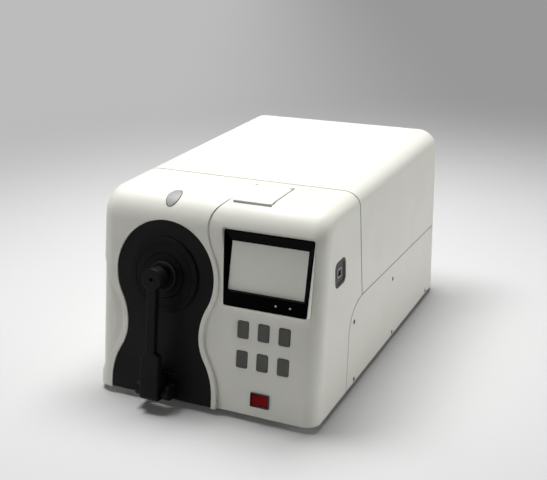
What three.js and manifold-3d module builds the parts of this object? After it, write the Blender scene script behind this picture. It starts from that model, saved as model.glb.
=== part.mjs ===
// Benchtop colorimeter: a case with a leaning front, a stepped measuring port with a
// flip-down sample arm, a tilted display, six keys, a rocker switch, an oval measure
// button on the rounded top edge, and a small lidded well in the top.
// Millimetres, +Z up, front towards -Y. Origin: centre of the footprint, on the bench.
import * as THREE from 'three';
import { ConvexGeometry } from 'three/addons/geometries/ConvexGeometry.js';
import { mergeVertices } from 'three/addons/utils/BufferGeometryUtils.js';
import Module from 'manifold-3d';

const wasm = await Module();
wasm.setup();

const degree = Math.PI / 180;
const quarter = Math.PI / 2;

// Clearances and cutting
const fit = 0.3;
const slideFit = 0.4;
const seamGap = 0.8;
const overrun = 30;
const weldTolerance = 0.001;
const cornerSteps = 2;
const smallTurnSteps = 14;

// Case: overall sizes and edge rounding
const bodyWidth = 300;
const bodyDepth = 472;
const bodyHeight = 246;
const footHeight = 8;
const wall = 3;
const faceLean = 9.8 * degree;
const topFrontRadius = 40;
const frontRollAcross = 19;
const frontRoll = 16;
const topRearRadius = 27;
const rearRollAcross = 27;
const rearRoll = 24;
const profileSteps = 6;
const rollSteps = 4;

// Seams, in depth behind the front foot of the face and height above the case's underside
const seamTopDepth = 140;
const seamElbowDepth = 150;
const seamElbowHeight = 110;
const seamSweepAcross = 45;
const seamSweepDrop = 42;
const seamFootDepth = 96;
const rearSeamDrop = 9.5;
const seamSweepSteps = 8;
const tongueReach = 6;
const tongueShare = 0.45;

// Measuring port: keyhole panel in a raised hourglass frame, set from the left side
const portInset = 93.6;
const portX = portInset - bodyWidth / 2;
const portHeight = 155;
const portLean = 10.6 * degree;
const portProud = 4.7;
const headRadius = 67.1;
const waistHalf = 49.7;
const waistHeight = 87;
const waistLowerRadius = 60;
const skirtHalf = 70.6;
const skirtHeight = 12;
const rimWidth = 6.9;
const neckHalf = 56.3;
const neckHeight = 226;
const neckUpperRadius = 30;
const panelThickness = 2;
const panelSink = 0.8;
const panelFootGap = 0.6;
const keyholeSteps = 5;
const headSteps = 24;

// Port flange and aperture mask, turned about the port axis
const flangeRadius = 46.4;
const flangeBodyRadius = 43.6;
const flangeBore = 22;
const flangeProud = 2;
const flangeBack = 5.6;
const flangeChamfer = 0.8;
const maskRadius = 26.9;
const maskThickness = 2.8;
const maskSeatProud = 0.5;
const apertureRadius = 12.7;
const apertureBackRadius = 16;
const coverBoreGap = 2.4;
const turnSteps = 28;

// Integrating sphere behind the port, with a ring that frames the port in its front half
const sphereOuter = 74;
const sphereWall = 4;
const sphereSetback = 82;
const sphereFlangeRadius = 82;
const sphereFlangeThickness = 4;
const portRingRadius = 30;
const sphereArcSteps = 5;
const sphereTurnSteps = 20;
const lampTilt = 45 * degree;
const lampBore = 14;
const viewTilt = 8 * degree;
const viewBore = 9;

// Flash lamp and its finned housing
const lampTubeRadius = 20;
const lampTubeWall = 4;
const lampStart = 72.7;
const lampLength = 33.3;
const lampBackThickness = 6;
const finRadius = 25;
const finThickness = 2;
const finPitch = 5.5;
const finCount = 4;
const bulbRadius = 5;
const bulbLength = 20;
const bulbBaseRadius = 9;
const bulbBaseLength = 4;

// Viewing tube, lens and spectrometer along the viewing axis
const tubeStart = 155.6;
const tubeLength = 34;
const tubeRadius = 12;
const lensSetback = 10;
const lensThickness = 4;
const lensRim = 1.6;
const lensCrown = 0.8;
const opticsWidth = 90;
const opticsHeight = 72;
const opticsLength = 94;
const opticsWall = 4;
const opticsLidThickness = 3;
const gratingRadius = 13;
const gratingThickness = 7;
const gratingOffset = 16;
const sensorWidth = 34;
const sensorHeight = 22;
const sensorThickness = 5;
const sensorOffset = -24;

// Sample arm: hinged at the foot of the port, head in front of the aperture
const armPivotHeight = 13;
const armPivotProud = 14;
const armFrontProud = 29;
const armBarHalf = 6.1;
const armBarThickness = 9;
const armFootHalf = 12.5;
const armFootBottom = 4;
const armShoulder = 61;
const armShoulderRise = 2.6;
const armFootBack = 7;
const armFootBackTop = 26;
const armBarBackBottom = 42;
const armHeadRadius = 13.5;
const armHeadFront = 30.5;
const armHeadBack = 13;
const armHeelRadius = 4;
const armToeRadius = 6;
const armEdgeRound = 1.4;
const pinRadius = 3;
const pinOverhang = 0.6;
const guideHoleRadius = 2;

// Hinge bracket on the port panel
const earInnerHalf = 13.2;
const earThickness = 10;
const earRadius = 8.5;
const bracketBottom = 3;
const bracketTop = 34;
const bracketThickness = 2;

// Spring-loaded sample pad in the arm's head
const padRadius = 18;
const padThickness = 2.4;
const plateRadius = 17;
const plateThickness = 2.2;
const plungerRadius = 3;
const plungerLength = 14;
const springBoreRadius = 9;
const springBoreDepth = 8;
const plungerReach = 7.5;
const padSpringRadius = 6.4;
const springWire = 1.2;
const padSpringTurns = 3;
const springTurnSteps = 8;
const springSides = 5;

// Return spring of the arm, in a slot of its foot
const armSpringRadius = 4.1;
const armSpringTurns = 4;
const armSpringPitch = 1.7;
const armSlotHalf = 4.6;
const armSlotRadius = 7.2;

// Display: a wedge housing that stands proud at its foot, set from the right side
const screenInset = 14;
const screenWidth = 114;
const screenLeft = bodyWidth / 2 - screenInset - screenWidth;
const screenFoot = 131;
const screenHeight = 89;
const screenProud = 8.6;
const screenTilt = 6.6 * degree;
const screenDepth = 14;
const screenRim = 1.4;
const screenCorner = 4;
const screenFlange = 3;
const screenFlangeThickness = 2;
const bezelThickness = 4;
const windowLip = 1.2;
const windowMarginSide = 8.2;
const windowMarginTop = 11;
const windowMarginFoot = 20.6;
const windowSlope = 2.2;
const panelMargin = 3.5;
const displayThickness = 5;
const lampHoleRadius = 1.5;
const statusRadius = 1.2;
const statusHeight = 10.6;
const statusFirst = 73;
const statusPitch = 18;

// Keys, key mat and key board
const keyWidth = 14.4;
const keyHeight = 21.1;
const keyCorner = 2.2;
const keyBevel = 0.5;
const keyPitchX = 26.8;
const keyPitchY = 36.5;
const keyInset = 71.8;
const keyCentreX = bodyWidth / 2 - keyInset;
const keyCentreHeight = 85.8;
const keyColumns = 3;
const keyRows = 2;
const keyProud = 0.9;
const keyFlange = 2;
const keyFlangeThickness = 1.2;
const keyTravel = 1.5;
const matWidth = 76;
const matHeight = 63;
const matThickness = 1.2;
const boardThickness = 1.6;
const boardMargin = 8;
const bossRadius = 3;
const bossInset = 4;

// Power switch
const switchInset = 72.5;
const switchX = bodyWidth / 2 - switchInset;
const switchHeight = 20.9;
const switchFlangeWidth = 24.4;
const switchFlangeHeight = 17.4;
const switchFlangeThickness = 1.6;
const switchBodyWidth = 21;
const switchBodyHeight = 14;
const switchBodyDepth = 16;
const switchCorner = 1.2;
const rockerWell = 10;
const rockerRadius = 9.4;
const rockerHeight = 11.2;
const rockerPivotSink = 2.2;
const rockerDish = 2.4;
const rockerSole = 4;
const rockerRest = 10 * degree;
const rockerEndLow = 20 * degree;
const rockerEndHigh = 24 * degree;
const rockerSoleShare = 0.78;

// Measure button on the rounded top edge, over the port
const buttonAngle = 62 * degree;
const buttonHalfWidth = 9.6;
const buttonHalfLength = 16.5;
const buttonProud = 0.8;
const buttonFlange = 2;
const buttonCore = 27.5;
const buttonTravel = 2;
const switchPlateThickness = 2;
const switchPlateHalfWidth = 20;
const switchPlateHalfLength = 9;
const tactSize = 8;
const tactHeight = 2;
const postThickness = 4;
const postLength = 8;
const ovalSteps = 20;
const crownSteps = 60;

// Lid in the top, and the well under it
const lidInset = 104.1;
const lidCentreX = bodyWidth / 2 - lidInset;
const lidWidth = 50.8;
const lidFrontDepth = 62;
const lidProud = 1;
const lidThickness = 3;
const lidBarrelRadius = 3.2;
const lidAxisBeforeSeam = 16.8;
const lidAxisDepth = seamTopDepth - lidAxisBeforeSeam;
const lidLipLength = 4;
const lidMouthFront = lidFrontDepth + lidLipLength;
const lidMouthPastAxis = 3.8;
const lidMouthRear = lidAxisDepth + lidMouthPastAxis;
const lidLipDrop = 1;
const lidNoseDrop = 0.9;
const lidNoseLength = 16;
const lidFlatDepth = lidFrontDepth + lidNoseLength;
const lidRelief = 0.4;
const lidBarrelHalf = 21.3;
const wellHalfWidth = 24.2;
const wellSetback = 8;
const wellFront = lidFrontDepth + wellSetback;
const wellBeforeAxis = 7.2;
const wellRear = lidAxisDepth - wellBeforeAxis;
const wellDepth = 27;
const wellWall = 2;
const wellFlange = 6;
const wellFlangeThickness = 1.6;
const wellFlangeSetback = 16;
const wellFlangeFront = lidFrontDepth + wellFlangeSetback;
const wellFlangePastAxis = 8.8;
const wellFlangeRear = lidAxisDepth + wellFlangePastAxis;
const lidEarThickness = 2.3;
const lidEarHalf = 2.8;
const lidPinRadius = 1.2;
const barrelSteps = 12;

// Side socket in the right wall
const sidePortDepth = 78.4;
const sidePortHeight = 167;
const sidePortSize = 32;
const sidePortCorner = 8;
const sidePortProud = 0.6;
const sidePortBack = 5.2;
const sidePortFlange = 3;
const sidePortFlangeThickness = 1.9;
const sidePortDishSize = 24;
const sidePortDishDepth = 1.6;
const socketWidth = 12;
const socketHeight = 10.8;
const socketDepth = 17;
const socketWall = 1.3;
const socketCavity = 11;
const tongueWidth = 5.6;
const tongueHeight = 3;
const socketTongueLength = 8;

// Chassis, stands and electronics on the floor of the case
const chassisInset = 20;
const chassisHalfWidth = bodyWidth / 2 - chassisInset;
const chassisFront = 58;
const chassisRear = 440;
const chassisThickness = 2;
const chassisLift = 5;
const panBossRadius = 5;
const panBossInsetX = 30;
const panBossInsetY = 12;
const standThickness = 36;
const standDepth = 74;
const standBelowSphere = 55;
const standBaseHalf = 52;
const standTopHalf = 34;
const standArchShare = 0.36;
const opticsStandWidth = 56;
const opticsStandDepth = 44;
const opticsStandSetback = 222;
const opticsStandBelowSphere = 81;
const mainBoardInset = 2;
const mainBoardWidth = 120;
const mainBoardRight = chassisHalfWidth - mainBoardInset;
const mainBoardLeft = mainBoardRight - mainBoardWidth;
const mainBoardFront = 150;
const mainBoardRear = 330;
const mainBoardLift = 6;
const boardPostRadius = 3;
const boardPostInset = 6;
const chipHeight = 3;
const chipShares = [
  [0.1, 0.1, 0.2, 0.14, 1],
  [0.5, 0.15, 0.16, 0.1, 1],
  [0.15, 0.45, 0.3, 0.12, 2],
  [0.62, 0.5, 0.14, 0.2, 4],
  [0.1, 0.75, 0.25, 0.14, 1],
];
const supplyInset = 4;
const supplyWidth = 96;
const supplyRight = chassisHalfWidth - supplyInset;
const supplyLeft = supplyRight - supplyWidth;
const supplyFront = 346;
const supplyRear = 428;
const supplyHeight = 40;
const supplySlotWidth = 3;
const supplySlotPitch = 8;
const supplySlotCount = 8;
const supplySlotDepth = 1.5;

// Rear panel, mains inlet and data port
const rearWindowHalf = 100;
const rearWindowLow = 16;
const rearWindowHigh = 84;
const rearPanelThickness = 2;
const rearPanelLap = 5;
const ventCount = 9;
const ventWidth = 3;
const ventHeight = 44;
const ventPitch = 8;
const ventCentreX = -52;
const inletInset = 34;
const inletX = rearWindowHalf - inletInset;
const inletHeight = 48;
const inletFlangeWidth = 48;
const inletFlangeHeight = 28;
const inletFlangeThickness = 1.6;
const inletBodyWidth = 30;
const inletBodyHeight = 22;
const inletBodyDepth = 26;
const inletCavityWidth = 24;
const inletCavityHeight = 16;
const inletCavityDepth = 19;
const inletPinLength = 12;
const inletPinWidth = 2;
const inletPinHeight = 4;
const inletPinPitch = 7;
const dataX = 16;
const feetInsetX = 38;
const feetInsetFront = 48;
const feetRadius = 15;
const feetSoleRadius = 13;
const feetSpigotRadius = 4;
const feetSpigotHeight = 5;
const feetDishRadius = 6;
const feetDishDepth = 3;

// Fixing recesses along the sides of the base pan: depth from the front, height above
// the underside
const screwRecessRadius = 2;
const screwRecessDepth = 1.2;
const screwUpperHeight = 84;
const screwLowerHeight = 4;
const screwDepths = { first: 124, middle: 269, last: 422 };
const screwRecessSteps = 8;

// Materials
function paint(color, roughness, metalness = 0) {
  return new THREE.MeshStandardMaterial({ color, roughness, metalness });
}
const shellWhite = paint(0xe6e6df, 0.5);
const blackPlastic = paint(0x1b1b1b, 0.6);
const bezelBlack = paint(0x0c0c0c, 0.3);
const screenGrey = paint(0xa3a39b, 0.25);
const keyGrey = paint(0x4a4a46, 0.6);
const rockerRed = paint(0xa80f14, 0.35);
const buttonGrey = paint(0xd9dad6, 0.4);
const socketGrey = paint(0x3c3b38, 0.55);
const steel = paint(0xb9bbbd, 0.35, 0.9);
const aluminium = paint(0xc4c6c8, 0.45, 0.9);
const sphereWhite = paint(0xf2f2ee, 0.8);
const boardGreen = paint(0x1f5a3a, 0.6);
const rubberBlack = paint(0x161616, 0.9);
const clearGlass = paint(0xdfe8ea, 0.08);
const lampWhite = paint(0xf4f4f4, 0.4);

// Turns a closed three.js geometry into a solid for cutting and joining.
function solidOf(geometry) {
  const bare = geometry.index ? geometry.toNonIndexed() : geometry.clone();
  bare.deleteAttribute('normal');
  bare.deleteAttribute('uv');
  const merged = mergeVertices(bare, weldTolerance);
  const position = merged.attributes.position;
  const corners = [];
  let volume = 0;
  const a = new THREE.Vector3();
  const b = new THREE.Vector3();
  const c = new THREE.Vector3();
  for (let i = 0; i < merged.index.count; i += 3) {
    const corner = [0, 1, 2].map((step) => merged.index.getX(i + step));
    if (new Set(corner).size === 3) {
      corners.push(corner);
      a.fromBufferAttribute(position, corner[0]);
      b.fromBufferAttribute(position, corner[1]);
      c.fromBufferAttribute(position, corner[2]);
      volume += a.dot(b.cross(c));
    }
  }
  const outward = ([p, q, r]) => (volume < 0 ? [p, r, q] : [p, q, r]);
  const triVerts = Uint32Array.from(corners.flatMap(outward));
  const vertProperties = Float32Array.from(position.array);
  return new wasm.Manifold(new wasm.Mesh({ numProp: 3, vertProperties, triVerts }));
}

// Turns a solid back into a geometry.
function geometryOf(solid) {
  const mesh = solid.getMesh();
  const geometry = new THREE.BufferGeometry();
  geometry.setAttribute('position', new THREE.BufferAttribute(Float32Array.from(mesh.vertProperties), 3));
  geometry.setIndex(new THREE.BufferAttribute(Uint32Array.from(mesh.triVerts), 1));
  geometry.computeVertexNormals();
  return geometry;
}

// Joins, cuts and intersections of geometries and solids.
const asSolid = (shape) => (shape instanceof THREE.BufferGeometry ? solidOf(shape) : shape);

function join(first, ...rest) {
  return rest.reduce((sum, next) => sum.add(asSolid(next)), asSolid(first));
}

function cut(first, ...rest) {
  return rest.reduce((sum, next) => sum.subtract(asSolid(next)), asSolid(first));
}

function common(first, ...rest) {
  return rest.reduce((sum, next) => sum.intersect(asSolid(next)), asSolid(first));
}

const moved = (geometry, frame) => geometry.clone().applyMatrix4(frame);

// A box between two corners.
function block(low, high) {
  const [x0, y0, z0] = low;
  const [x1, y1, z1] = high;
  const box = new THREE.BoxGeometry(x1 - x0, y1 - y0, z1 - z0);
  return box.translate((x0 + x1) / 2, (y0 + y1) / 2, (z0 + z1) / 2);
}

// Points on an arc from one angle to another, end points included.
function arc(cx, cy, radius, from, to, steps) {
  const points = [];
  for (let i = 0; i <= steps; i += 1) {
    const angle = from + ((to - from) * i) / steps;
    points.push(new THREE.Vector2(cx + radius * Math.cos(angle), cy + radius * Math.sin(angle)));
  }
  return points;
}

// A closed outline from points and runs of points, with doubled points left out.
function outline(...runs) {
  const kept = [];
  for (const corner of runs.flat()) {
    const last = kept[kept.length - 1];
    if (!last || last.distanceTo(corner) > weldTolerance) {
      kept.push(corner);
    }
  }
  if (kept[0].distanceTo(kept[kept.length - 1]) <= weldTolerance) {
    kept.pop();
  }
  return new THREE.Shape(kept);
}

const point = (x, y) => new THREE.Vector2(x, y);

function roundedRect(x0, y0, x1, y1, radius, steps = cornerSteps) {
  return outline(
    arc(x1 - radius, y0 + radius, radius, -quarter, 0, steps),
    arc(x1 - radius, y1 - radius, radius, 0, quarter, steps),
    arc(x0 + radius, y1 - radius, radius, quarter, 2 * quarter, steps),
    arc(x0 + radius, y0 + radius, radius, 2 * quarter, 3 * quarter, steps),
  );
}

// An outline extruded along +Z between two heights.
function prism(shape, low, high) {
  const geometry = new THREE.ExtrudeGeometry(shape, { depth: high - low, bevelEnabled: false });
  return geometry.translate(0, 0, low);
}

// As prism, with rounded edges at both ends; the outline is the widest section.
function softPrism(shape, low, high, round, segments = 1) {
  const geometry = new THREE.ExtrudeGeometry(shape, {
    depth: high - low - 2 * round,
    bevelEnabled: true,
    bevelThickness: round,
    bevelSize: round,
    bevelOffset: -round,
    bevelSegments: segments,
  });
  return geometry.translate(0, 0, low + round);
}

// An outline in (depth, height) extruded across the width.
const acrossFrame = new THREE.Matrix4().makeBasis(
  new THREE.Vector3(0, 1, 0),
  new THREE.Vector3(0, 0, 1),
  new THREE.Vector3(1, 0, 0),
);
const across = (shape, x0, x1) => moved(prism(shape, x0, x1), acrossFrame);

// Lays what is drawn in X and Y upright, so that Y points up.
const upright = new THREE.Matrix4().makeRotationX(quarter);

// A profile of (radius, height) points turned about +Z.
function turned(profile, steps = turnSteps) {
  return new THREE.LatheGeometry(profile, steps).rotateX(quarter);
}

// A closed profile, for turned pieces with a hole through them.
const closed = (profile) => [...profile, profile[0].clone()];

// A round rod along +Z, centred on the axis.
function rod(radius, low, high, steps = smallTurnSteps) {
  const cylinder = new THREE.CylinderGeometry(radius, radius, high - low, steps).rotateX(quarter);
  return cylinder.translate(0, 0, (low + high) / 2);
}

// The same rod laid along +X.
const crossRod = (radius, x0, x1, steps) => moved(rod(radius, x0, x1, steps), acrossFrame);

// A helical wire about +Z.
class Helix extends THREE.Curve {
  constructor(radius, rise, turns) {
    super();
    Object.assign(this, { radius, rise, turns });
  }

  getPoint(t, target = new THREE.Vector3()) {
    const angle = 2 * Math.PI * this.turns * t;
    return target.set(this.radius * Math.cos(angle), this.radius * Math.sin(angle), this.rise * t);
  }
}

function coil(radius, rise, turns) {
  const section = new THREE.Shape(arc(0, 0, springWire / 2, 0, 2 * Math.PI, springSides).slice(1));
  return new THREE.ExtrudeGeometry(section, {
    steps: turns * springTurnSteps,
    extrudePath: new Helix(radius, rise, turns),
    bevelEnabled: false,
  });
}

// The scene graph
const colorimeter = new THREE.Group();

function mesh(name, shape, material, parent = colorimeter) {
  const node = new THREE.Mesh(geometryOf(asSolid(shape)), material);
  node.name = name;
  parent.add(node);
  return node;
}

function groupIn(parent, frame) {
  const group = new THREE.Group();
  group.applyMatrix4(frame);
  parent.add(group);
  return group;
}

// Case shape. The front plane leans back from its foot; every edge is rolled along the side
// profile, so the case is the hull of those rolled edges.
const bodyTop = footHeight + bodyHeight;
const frontAt = (height, proud, lean) => height * Math.tan(lean) - proud;

function topFrontCentre(proud, lean) {
  const height = bodyHeight - topFrontRadius;
  return { y: frontAt(height, proud, lean) + topFrontRadius / Math.cos(lean), z: bodyTop - topFrontRadius };
}

function caseHull(inset, floor, proud = 0, lean = faceLean) {
  const front = topFrontCentre(proud, lean);
  const rear = { y: bodyDepth - topRearRadius, z: bodyTop - topRearRadius };
  const ends = [
    {
      centre: front,
      core: topFrontRadius - frontRoll,
      roll: frontRoll,
      rollX: frontRollAcross,
      way: -1,
      first: lean,
    },
    {
      centre: rear,
      core: topRearRadius - rearRoll,
      roll: rearRoll,
      rollX: rearRollAcross,
      way: 1,
      first: 0,
    },
  ];
  const points = [];
  for (const end of ends) {
    for (const side of [-1, 1]) {
      const edgeX = side * (bodyWidth / 2 - end.rollX);
      for (let j = 0; j <= rollSteps; j += 1) {
        const turn = (quarter * j) / rollSteps;
        const outX = edgeX + side * (end.rollX - inset) * Math.sin(turn);
        const out = (end.roll - inset) * Math.cos(turn);
        for (let i = 0; i <= profileSteps; i += 1) {
          const rise = end.first + ((quarter - end.first) * i) / profileSteps;
          const reach = end.core + out;
          points.push(new THREE.Vector3(
            outX,
            end.centre.y + end.way * reach * Math.cos(rise),
            end.centre.z + reach * Math.sin(rise),
          ));
        }
        const plane = end.way < 0 ? frontAt(floor - footHeight, proud, lean) : bodyDepth;
        const depth = (end.roll - out) / Math.cos(end.first);
        points.push(new THREE.Vector3(outX, plane - end.way * depth, floor));
      }
    }
  }
  return solidOf(new ConvexGeometry(points));
}

// Frames on the leaning front: X across, Y up the slope, Z out of the face.
function slopeFrame(x, proud, lean) {
  const turn = new THREE.Matrix4().makeRotationX(quarter - lean);
  return new THREE.Matrix4().makeTranslation(x, -proud, footHeight).multiply(turn);
}
const faceFrame = slopeFrame(0, 0, faceLean);
const portFrame = slopeFrame(portX, portProud, portLean);

// Keyhole outline of the port, in the port frame, grown outwards by a rim
const circleTangent = (half, rise, radius) => (half ** 2 + rise ** 2 - radius ** 2) / (2 * (radius - half));
const waistUpperRadius = circleTangent(waistHalf, portHeight - waistHeight, headRadius);
const skirtOverhang = waistHalf + waistLowerRadius - skirtHalf;
const skirtRadius = (skirtOverhang ** 2 + (waistHeight - skirtHeight) ** 2 - waistLowerRadius ** 2)
  / (2 * (waistLowerRadius - skirtOverhang));
const upperX = waistHalf + waistUpperRadius;
const lowerX = waistHalf + waistLowerRadius;
const skirtX = skirtHalf - skirtRadius;
const headAngle = Math.atan2(waistHeight - portHeight, upperX);
const skirtAngle = Math.atan2(waistHeight - skirtHeight, lowerX - skirtX);

function flank(grow) {
  return [
    ...arc(skirtX, skirtHeight, skirtRadius + grow, 0, skirtAngle, keyholeSteps),
    ...arc(lowerX, waistHeight, waistLowerRadius - grow, Math.PI + skirtAngle, Math.PI, keyholeSteps),
    ...arc(upperX, waistHeight, waistUpperRadius - grow, Math.PI, Math.PI + headAngle, keyholeSteps),
  ];
}
const mirrored = (points) => points.map((p) => point(-p.x, p.y)).reverse();

function keyhole(grow, foot) {
  const side = flank(grow);
  const head = arc(0, portHeight, headRadius + grow, headAngle, Math.PI - headAngle, headSteps);
  return outline(
    [point(-skirtHalf - grow, foot), point(skirtHalf + grow, foot)],
    side,
    head,
    mirrored(side),
  );
}

// Raised part of the front: the frame round the keyhole on the right, open to the left edge
// above and below the waist, and fading into the rounded top edge.
function raisedOutline() {
  const grown = headRadius + rimWidth;
  const neckRadius = circleTangent(neckHalf, neckHeight - portHeight, grown);
  const neckAngle = Math.atan2(neckHeight - portHeight, neckHalf + neckRadius);
  const upperNeck = arc(
    neckHalf + neckUpperRadius, neckHeight, neckUpperRadius, Math.PI, Math.PI - quarter / 2, keyholeSteps,
  );
  const crest = upperNeck[upperNeck.length - 1];
  const side = flank(rimWidth);
  const left = mirrored(side);
  const waistLeft = left.slice(0, left.length - keyholeSteps - 1);
  const headFoot = waistLeft[0];
  const skirtTop = waistLeft[waistLeft.length - 1];
  const top = crest.y + overrun;
  return outline(
    [point(skirtHalf + rimWidth, -overrun)],
    side,
    arc(0, portHeight, grown, headAngle, neckAngle, headSteps / 2),
    arc(neckHalf + neckRadius, neckHeight, neckRadius, Math.PI + neckAngle, Math.PI, keyholeSteps),
    upperNeck,
    [point(crest.x + overrun, top)],
    [point(headFoot.x + (top - headFoot.y) * Math.tan(headAngle), top)],
    waistLeft,
    [point(skirtTop.x - (skirtTop.y + overrun) * Math.tan(skirtAngle), -overrun)],
  );
}

// Frames inside others
const identity = new THREE.Matrix4();
const shifted = (frame, x, y, z) => frame.clone().multiply(new THREE.Matrix4().makeTranslation(x, y, z));
const tipped = (frame, angle) => frame.clone().multiply(new THREE.Matrix4().makeRotationX(angle));
const lampInPort = tipped(shifted(identity, 0, 0, -sphereSetback), lampTilt - Math.PI);
const viewInPort = tipped(identity, Math.PI - viewTilt);
const portAxis = shifted(portFrame, 0, portHeight, 0);
const screenFrame = tipped(shifted(faceFrame, screenLeft, screenFoot, screenProud), -screenTilt);

// Regions of the case on each side of its seams, extruded across the width
const farSide = bodyWidth / 2 + overrun;
const farBack = bodyDepth + overrun;
const farTop = bodyTop + overrun;
const elbow = point(seamElbowDepth, footHeight + seamElbowHeight);
const rearSeamAt = (depth) => elbow.y - (rearSeamDrop * (depth - elbow.x)) / (bodyDepth - elbow.x);

function sweep(back, up) {
  const points = [];
  for (let i = 0; i <= seamSweepSteps; i += 1) {
    const angle = quarter + (quarter * i) / seamSweepSteps;
    points.push(point(
      elbow.x + back + seamSweepAcross * Math.cos(angle),
      elbow.y + up - seamSweepDrop * (1 - Math.sin(angle)),
    ));
  }
  return points;
}

function frontRegion(back) {
  return across(outline(
    [point(-overrun, farTop), point(-overrun, -overrun)],
    [point(seamFootDepth + back, -overrun), point(seamFootDepth + back, footHeight)],
    sweep(back, 0).reverse(),
    [point(seamTopDepth + back, bodyTop), point(seamTopDepth + back, farTop)],
  ), -farSide, farSide);
}

function rearRegion(back, drop) {
  return across(outline(
    [point(seamTopDepth + back, farTop), point(seamTopDepth + back, bodyTop)],
    [point(elbow.x + back, elbow.y), point(elbow.x + back, elbow.y - drop)],
    [point(farBack, rearSeamAt(farBack) - drop), point(farBack, farTop)],
  ), -farSide, farSide);
}

function baseRegion(gap) {
  return across(outline(
    sweep(gap, -gap),
    [point(seamFootDepth + gap, footHeight), point(seamFootDepth + gap, -overrun)],
    [point(farBack, -overrun), point(farBack, rearSeamAt(farBack) - gap)],
  ), -farSide, farSide);
}

const below = footHeight - overrun;
const tongueClear = tongueReach + fit;
const outerHull = caseHull(0, footHeight);
const innerHull = caseHull(wall, below);
const tongueFace = wall * tongueShare;
const shell = cut(outerHull, innerHull);
const tongueShell = cut(common(caseHull(tongueFace + fit, below), outerHull), innerHull);
const tongueSpace = caseHull(tongueFace, below);

// Display outline in its own frame, grown or shrunk all round
const screenOutline = (grow) => roundedRect(
  -grow, -grow, screenWidth + grow, screenHeight + grow, screenCorner + grow,
);

// A rectangle with rounded corners about a centre
const plateOutline = (x, y, width, height, corner) => roundedRect(
  x - width / 2, y - height / 2, x + width / 2, y + height / 2, corner,
);

// Places of the keys
const keyPlaces = [];
for (let row = 0; row < keyRows; row += 1) {
  for (let column = 0; column < keyColumns; column += 1) {
    keyPlaces.push({
      name: `key_${row === 0 ? 'upper' : 'lower'}_${['left', 'middle', 'right'][column]}`,
      x: keyCentreX + (column - (keyColumns - 1) / 2) * keyPitchX,
      y: keyCentreHeight - (row - (keyRows - 1) / 2) * keyPitchY,
    });
  }
}

// Measure button: its frame stands on the centre of the raised top edge's arc
const raisedArc = topFrontCentre(portProud, portLean);
const plainArc = topFrontCentre(0, faceLean);
const buttonFrame = tipped(shifted(identity, portX, raisedArc.y, raisedArc.z), quarter - buttonAngle);
const buttonSeat = topFrontRadius - wall - (plainArc.y - raisedArc.y) - fit;

function oval(grow) {
  const points = [];
  const halfWidth = buttonHalfWidth + grow;
  const halfLength = buttonHalfLength + grow;
  for (let i = 0; i < ovalSteps; i += 1) {
    const angle = (2 * Math.PI * i) / ovalSteps;
    points.push(point(halfWidth * Math.cos(angle), halfLength * Math.sin(angle)));
  }
  return new THREE.Shape(points);
}

// Front cover
const panelPocket = panelSink + panelThickness + fit;
const raisedPart = common(
  caseHull(0, footHeight, portProud, portLean),
  moved(prism(raisedOutline(), -2 * overrun, overrun), portFrame),
);
const boardHalfWidth = matWidth / 2 + boardMargin;
const boardHalfHeight = matHeight / 2 + boardMargin;
const keyFlangeBack = -wall - fit - keyFlangeThickness;
const matFront = keyFlangeBack - keyTravel - fit;
const boardFront = matFront - matThickness - fit;
const mouthHalf = lidWidth / 2 + fit;

function frontCover() {
  let cover = cut(join(outerHull, raisedPart), innerHull);
  cover = common(cover, frontRegion(0));
  cover = join(cover, common(tongueShell, frontRegion(tongueReach)));
  for (const sideX of [-1, 1]) {
    for (const sideY of [-1, 1]) {
      const boss = rod(bossRadius, boardFront + fit, -wall / 2).translate(
        keyCentreX + sideX * (boardHalfWidth - bossInset),
        keyCentreHeight + sideY * (boardHalfHeight - bossInset),
        0,
      );
      cover = join(cover, moved(boss, faceFrame));
    }
    const postX = sideX * (switchPlateHalfWidth - postThickness / 2);
    const post = block(
      [postX - postThickness / 2, -postLength / 2, buttonCore - buttonTravel - tactHeight],
      [postX + postThickness / 2, postLength / 2, topFrontRadius],
    );
    cover = join(cover, common(moved(post, buttonFrame), caseHull(wall / 2, footHeight)));
  }
  cover = cut(
    cover,
    moved(prism(keyhole(fit, -overrun), -panelPocket, overrun), portFrame),
    moved(rod(flangeBodyRadius + coverBoreGap, -overrun, overrun, turnSteps), portAxis),
    moved(prism(screenOutline(0), -overrun, overrun), screenFrame),
    moved(prism(oval(slideFit), buttonCore, topFrontRadius + overrun), buttonFrame),
    block(
      [lidCentreX - mouthHalf, lidMouthFront, bodyTop - overrun],
      [lidCentreX + mouthHalf, lidMouthRear, bodyTop + overrun],
    ),
    across(
      plateOutline(
        sidePortDepth,
        footHeight + sidePortHeight,
        sidePortSize + 2 * fit,
        sidePortSize + 2 * fit,
        sidePortCorner + fit,
      ),
      bodyWidth / 2 - overrun,
      farSide,
    ),
  );
  const keyGap = 2 * slideFit;
  for (const key of keyPlaces) {
    const hole = plateOutline(key.x, key.y, keyWidth + keyGap, keyHeight + keyGap, keyCorner + slideFit);
    cover = cut(cover, moved(prism(hole, boardFront, overrun), faceFrame));
  }
  const switchHole = plateOutline(
    switchX, switchHeight, switchBodyWidth + 2 * fit, switchBodyHeight + 2 * fit, switchCorner,
  );
  return cut(cover, moved(prism(switchHole, -overrun, overrun), faceFrame));
}
mesh('front_cover', frontCover(), shellWhite);

// Rear cover, with a tongue that hangs behind the base pan's wall
const rearTongue = cut(common(tongueShell, rearRegion(seamGap, tongueReach)), frontRegion(tongueClear));
const rearShell = cut(common(shell, rearRegion(seamGap, 0)), common(tongueSpace, frontRegion(tongueClear)));
mesh('rear_cover', join(rearShell, rearTongue), shellWhite);

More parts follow.
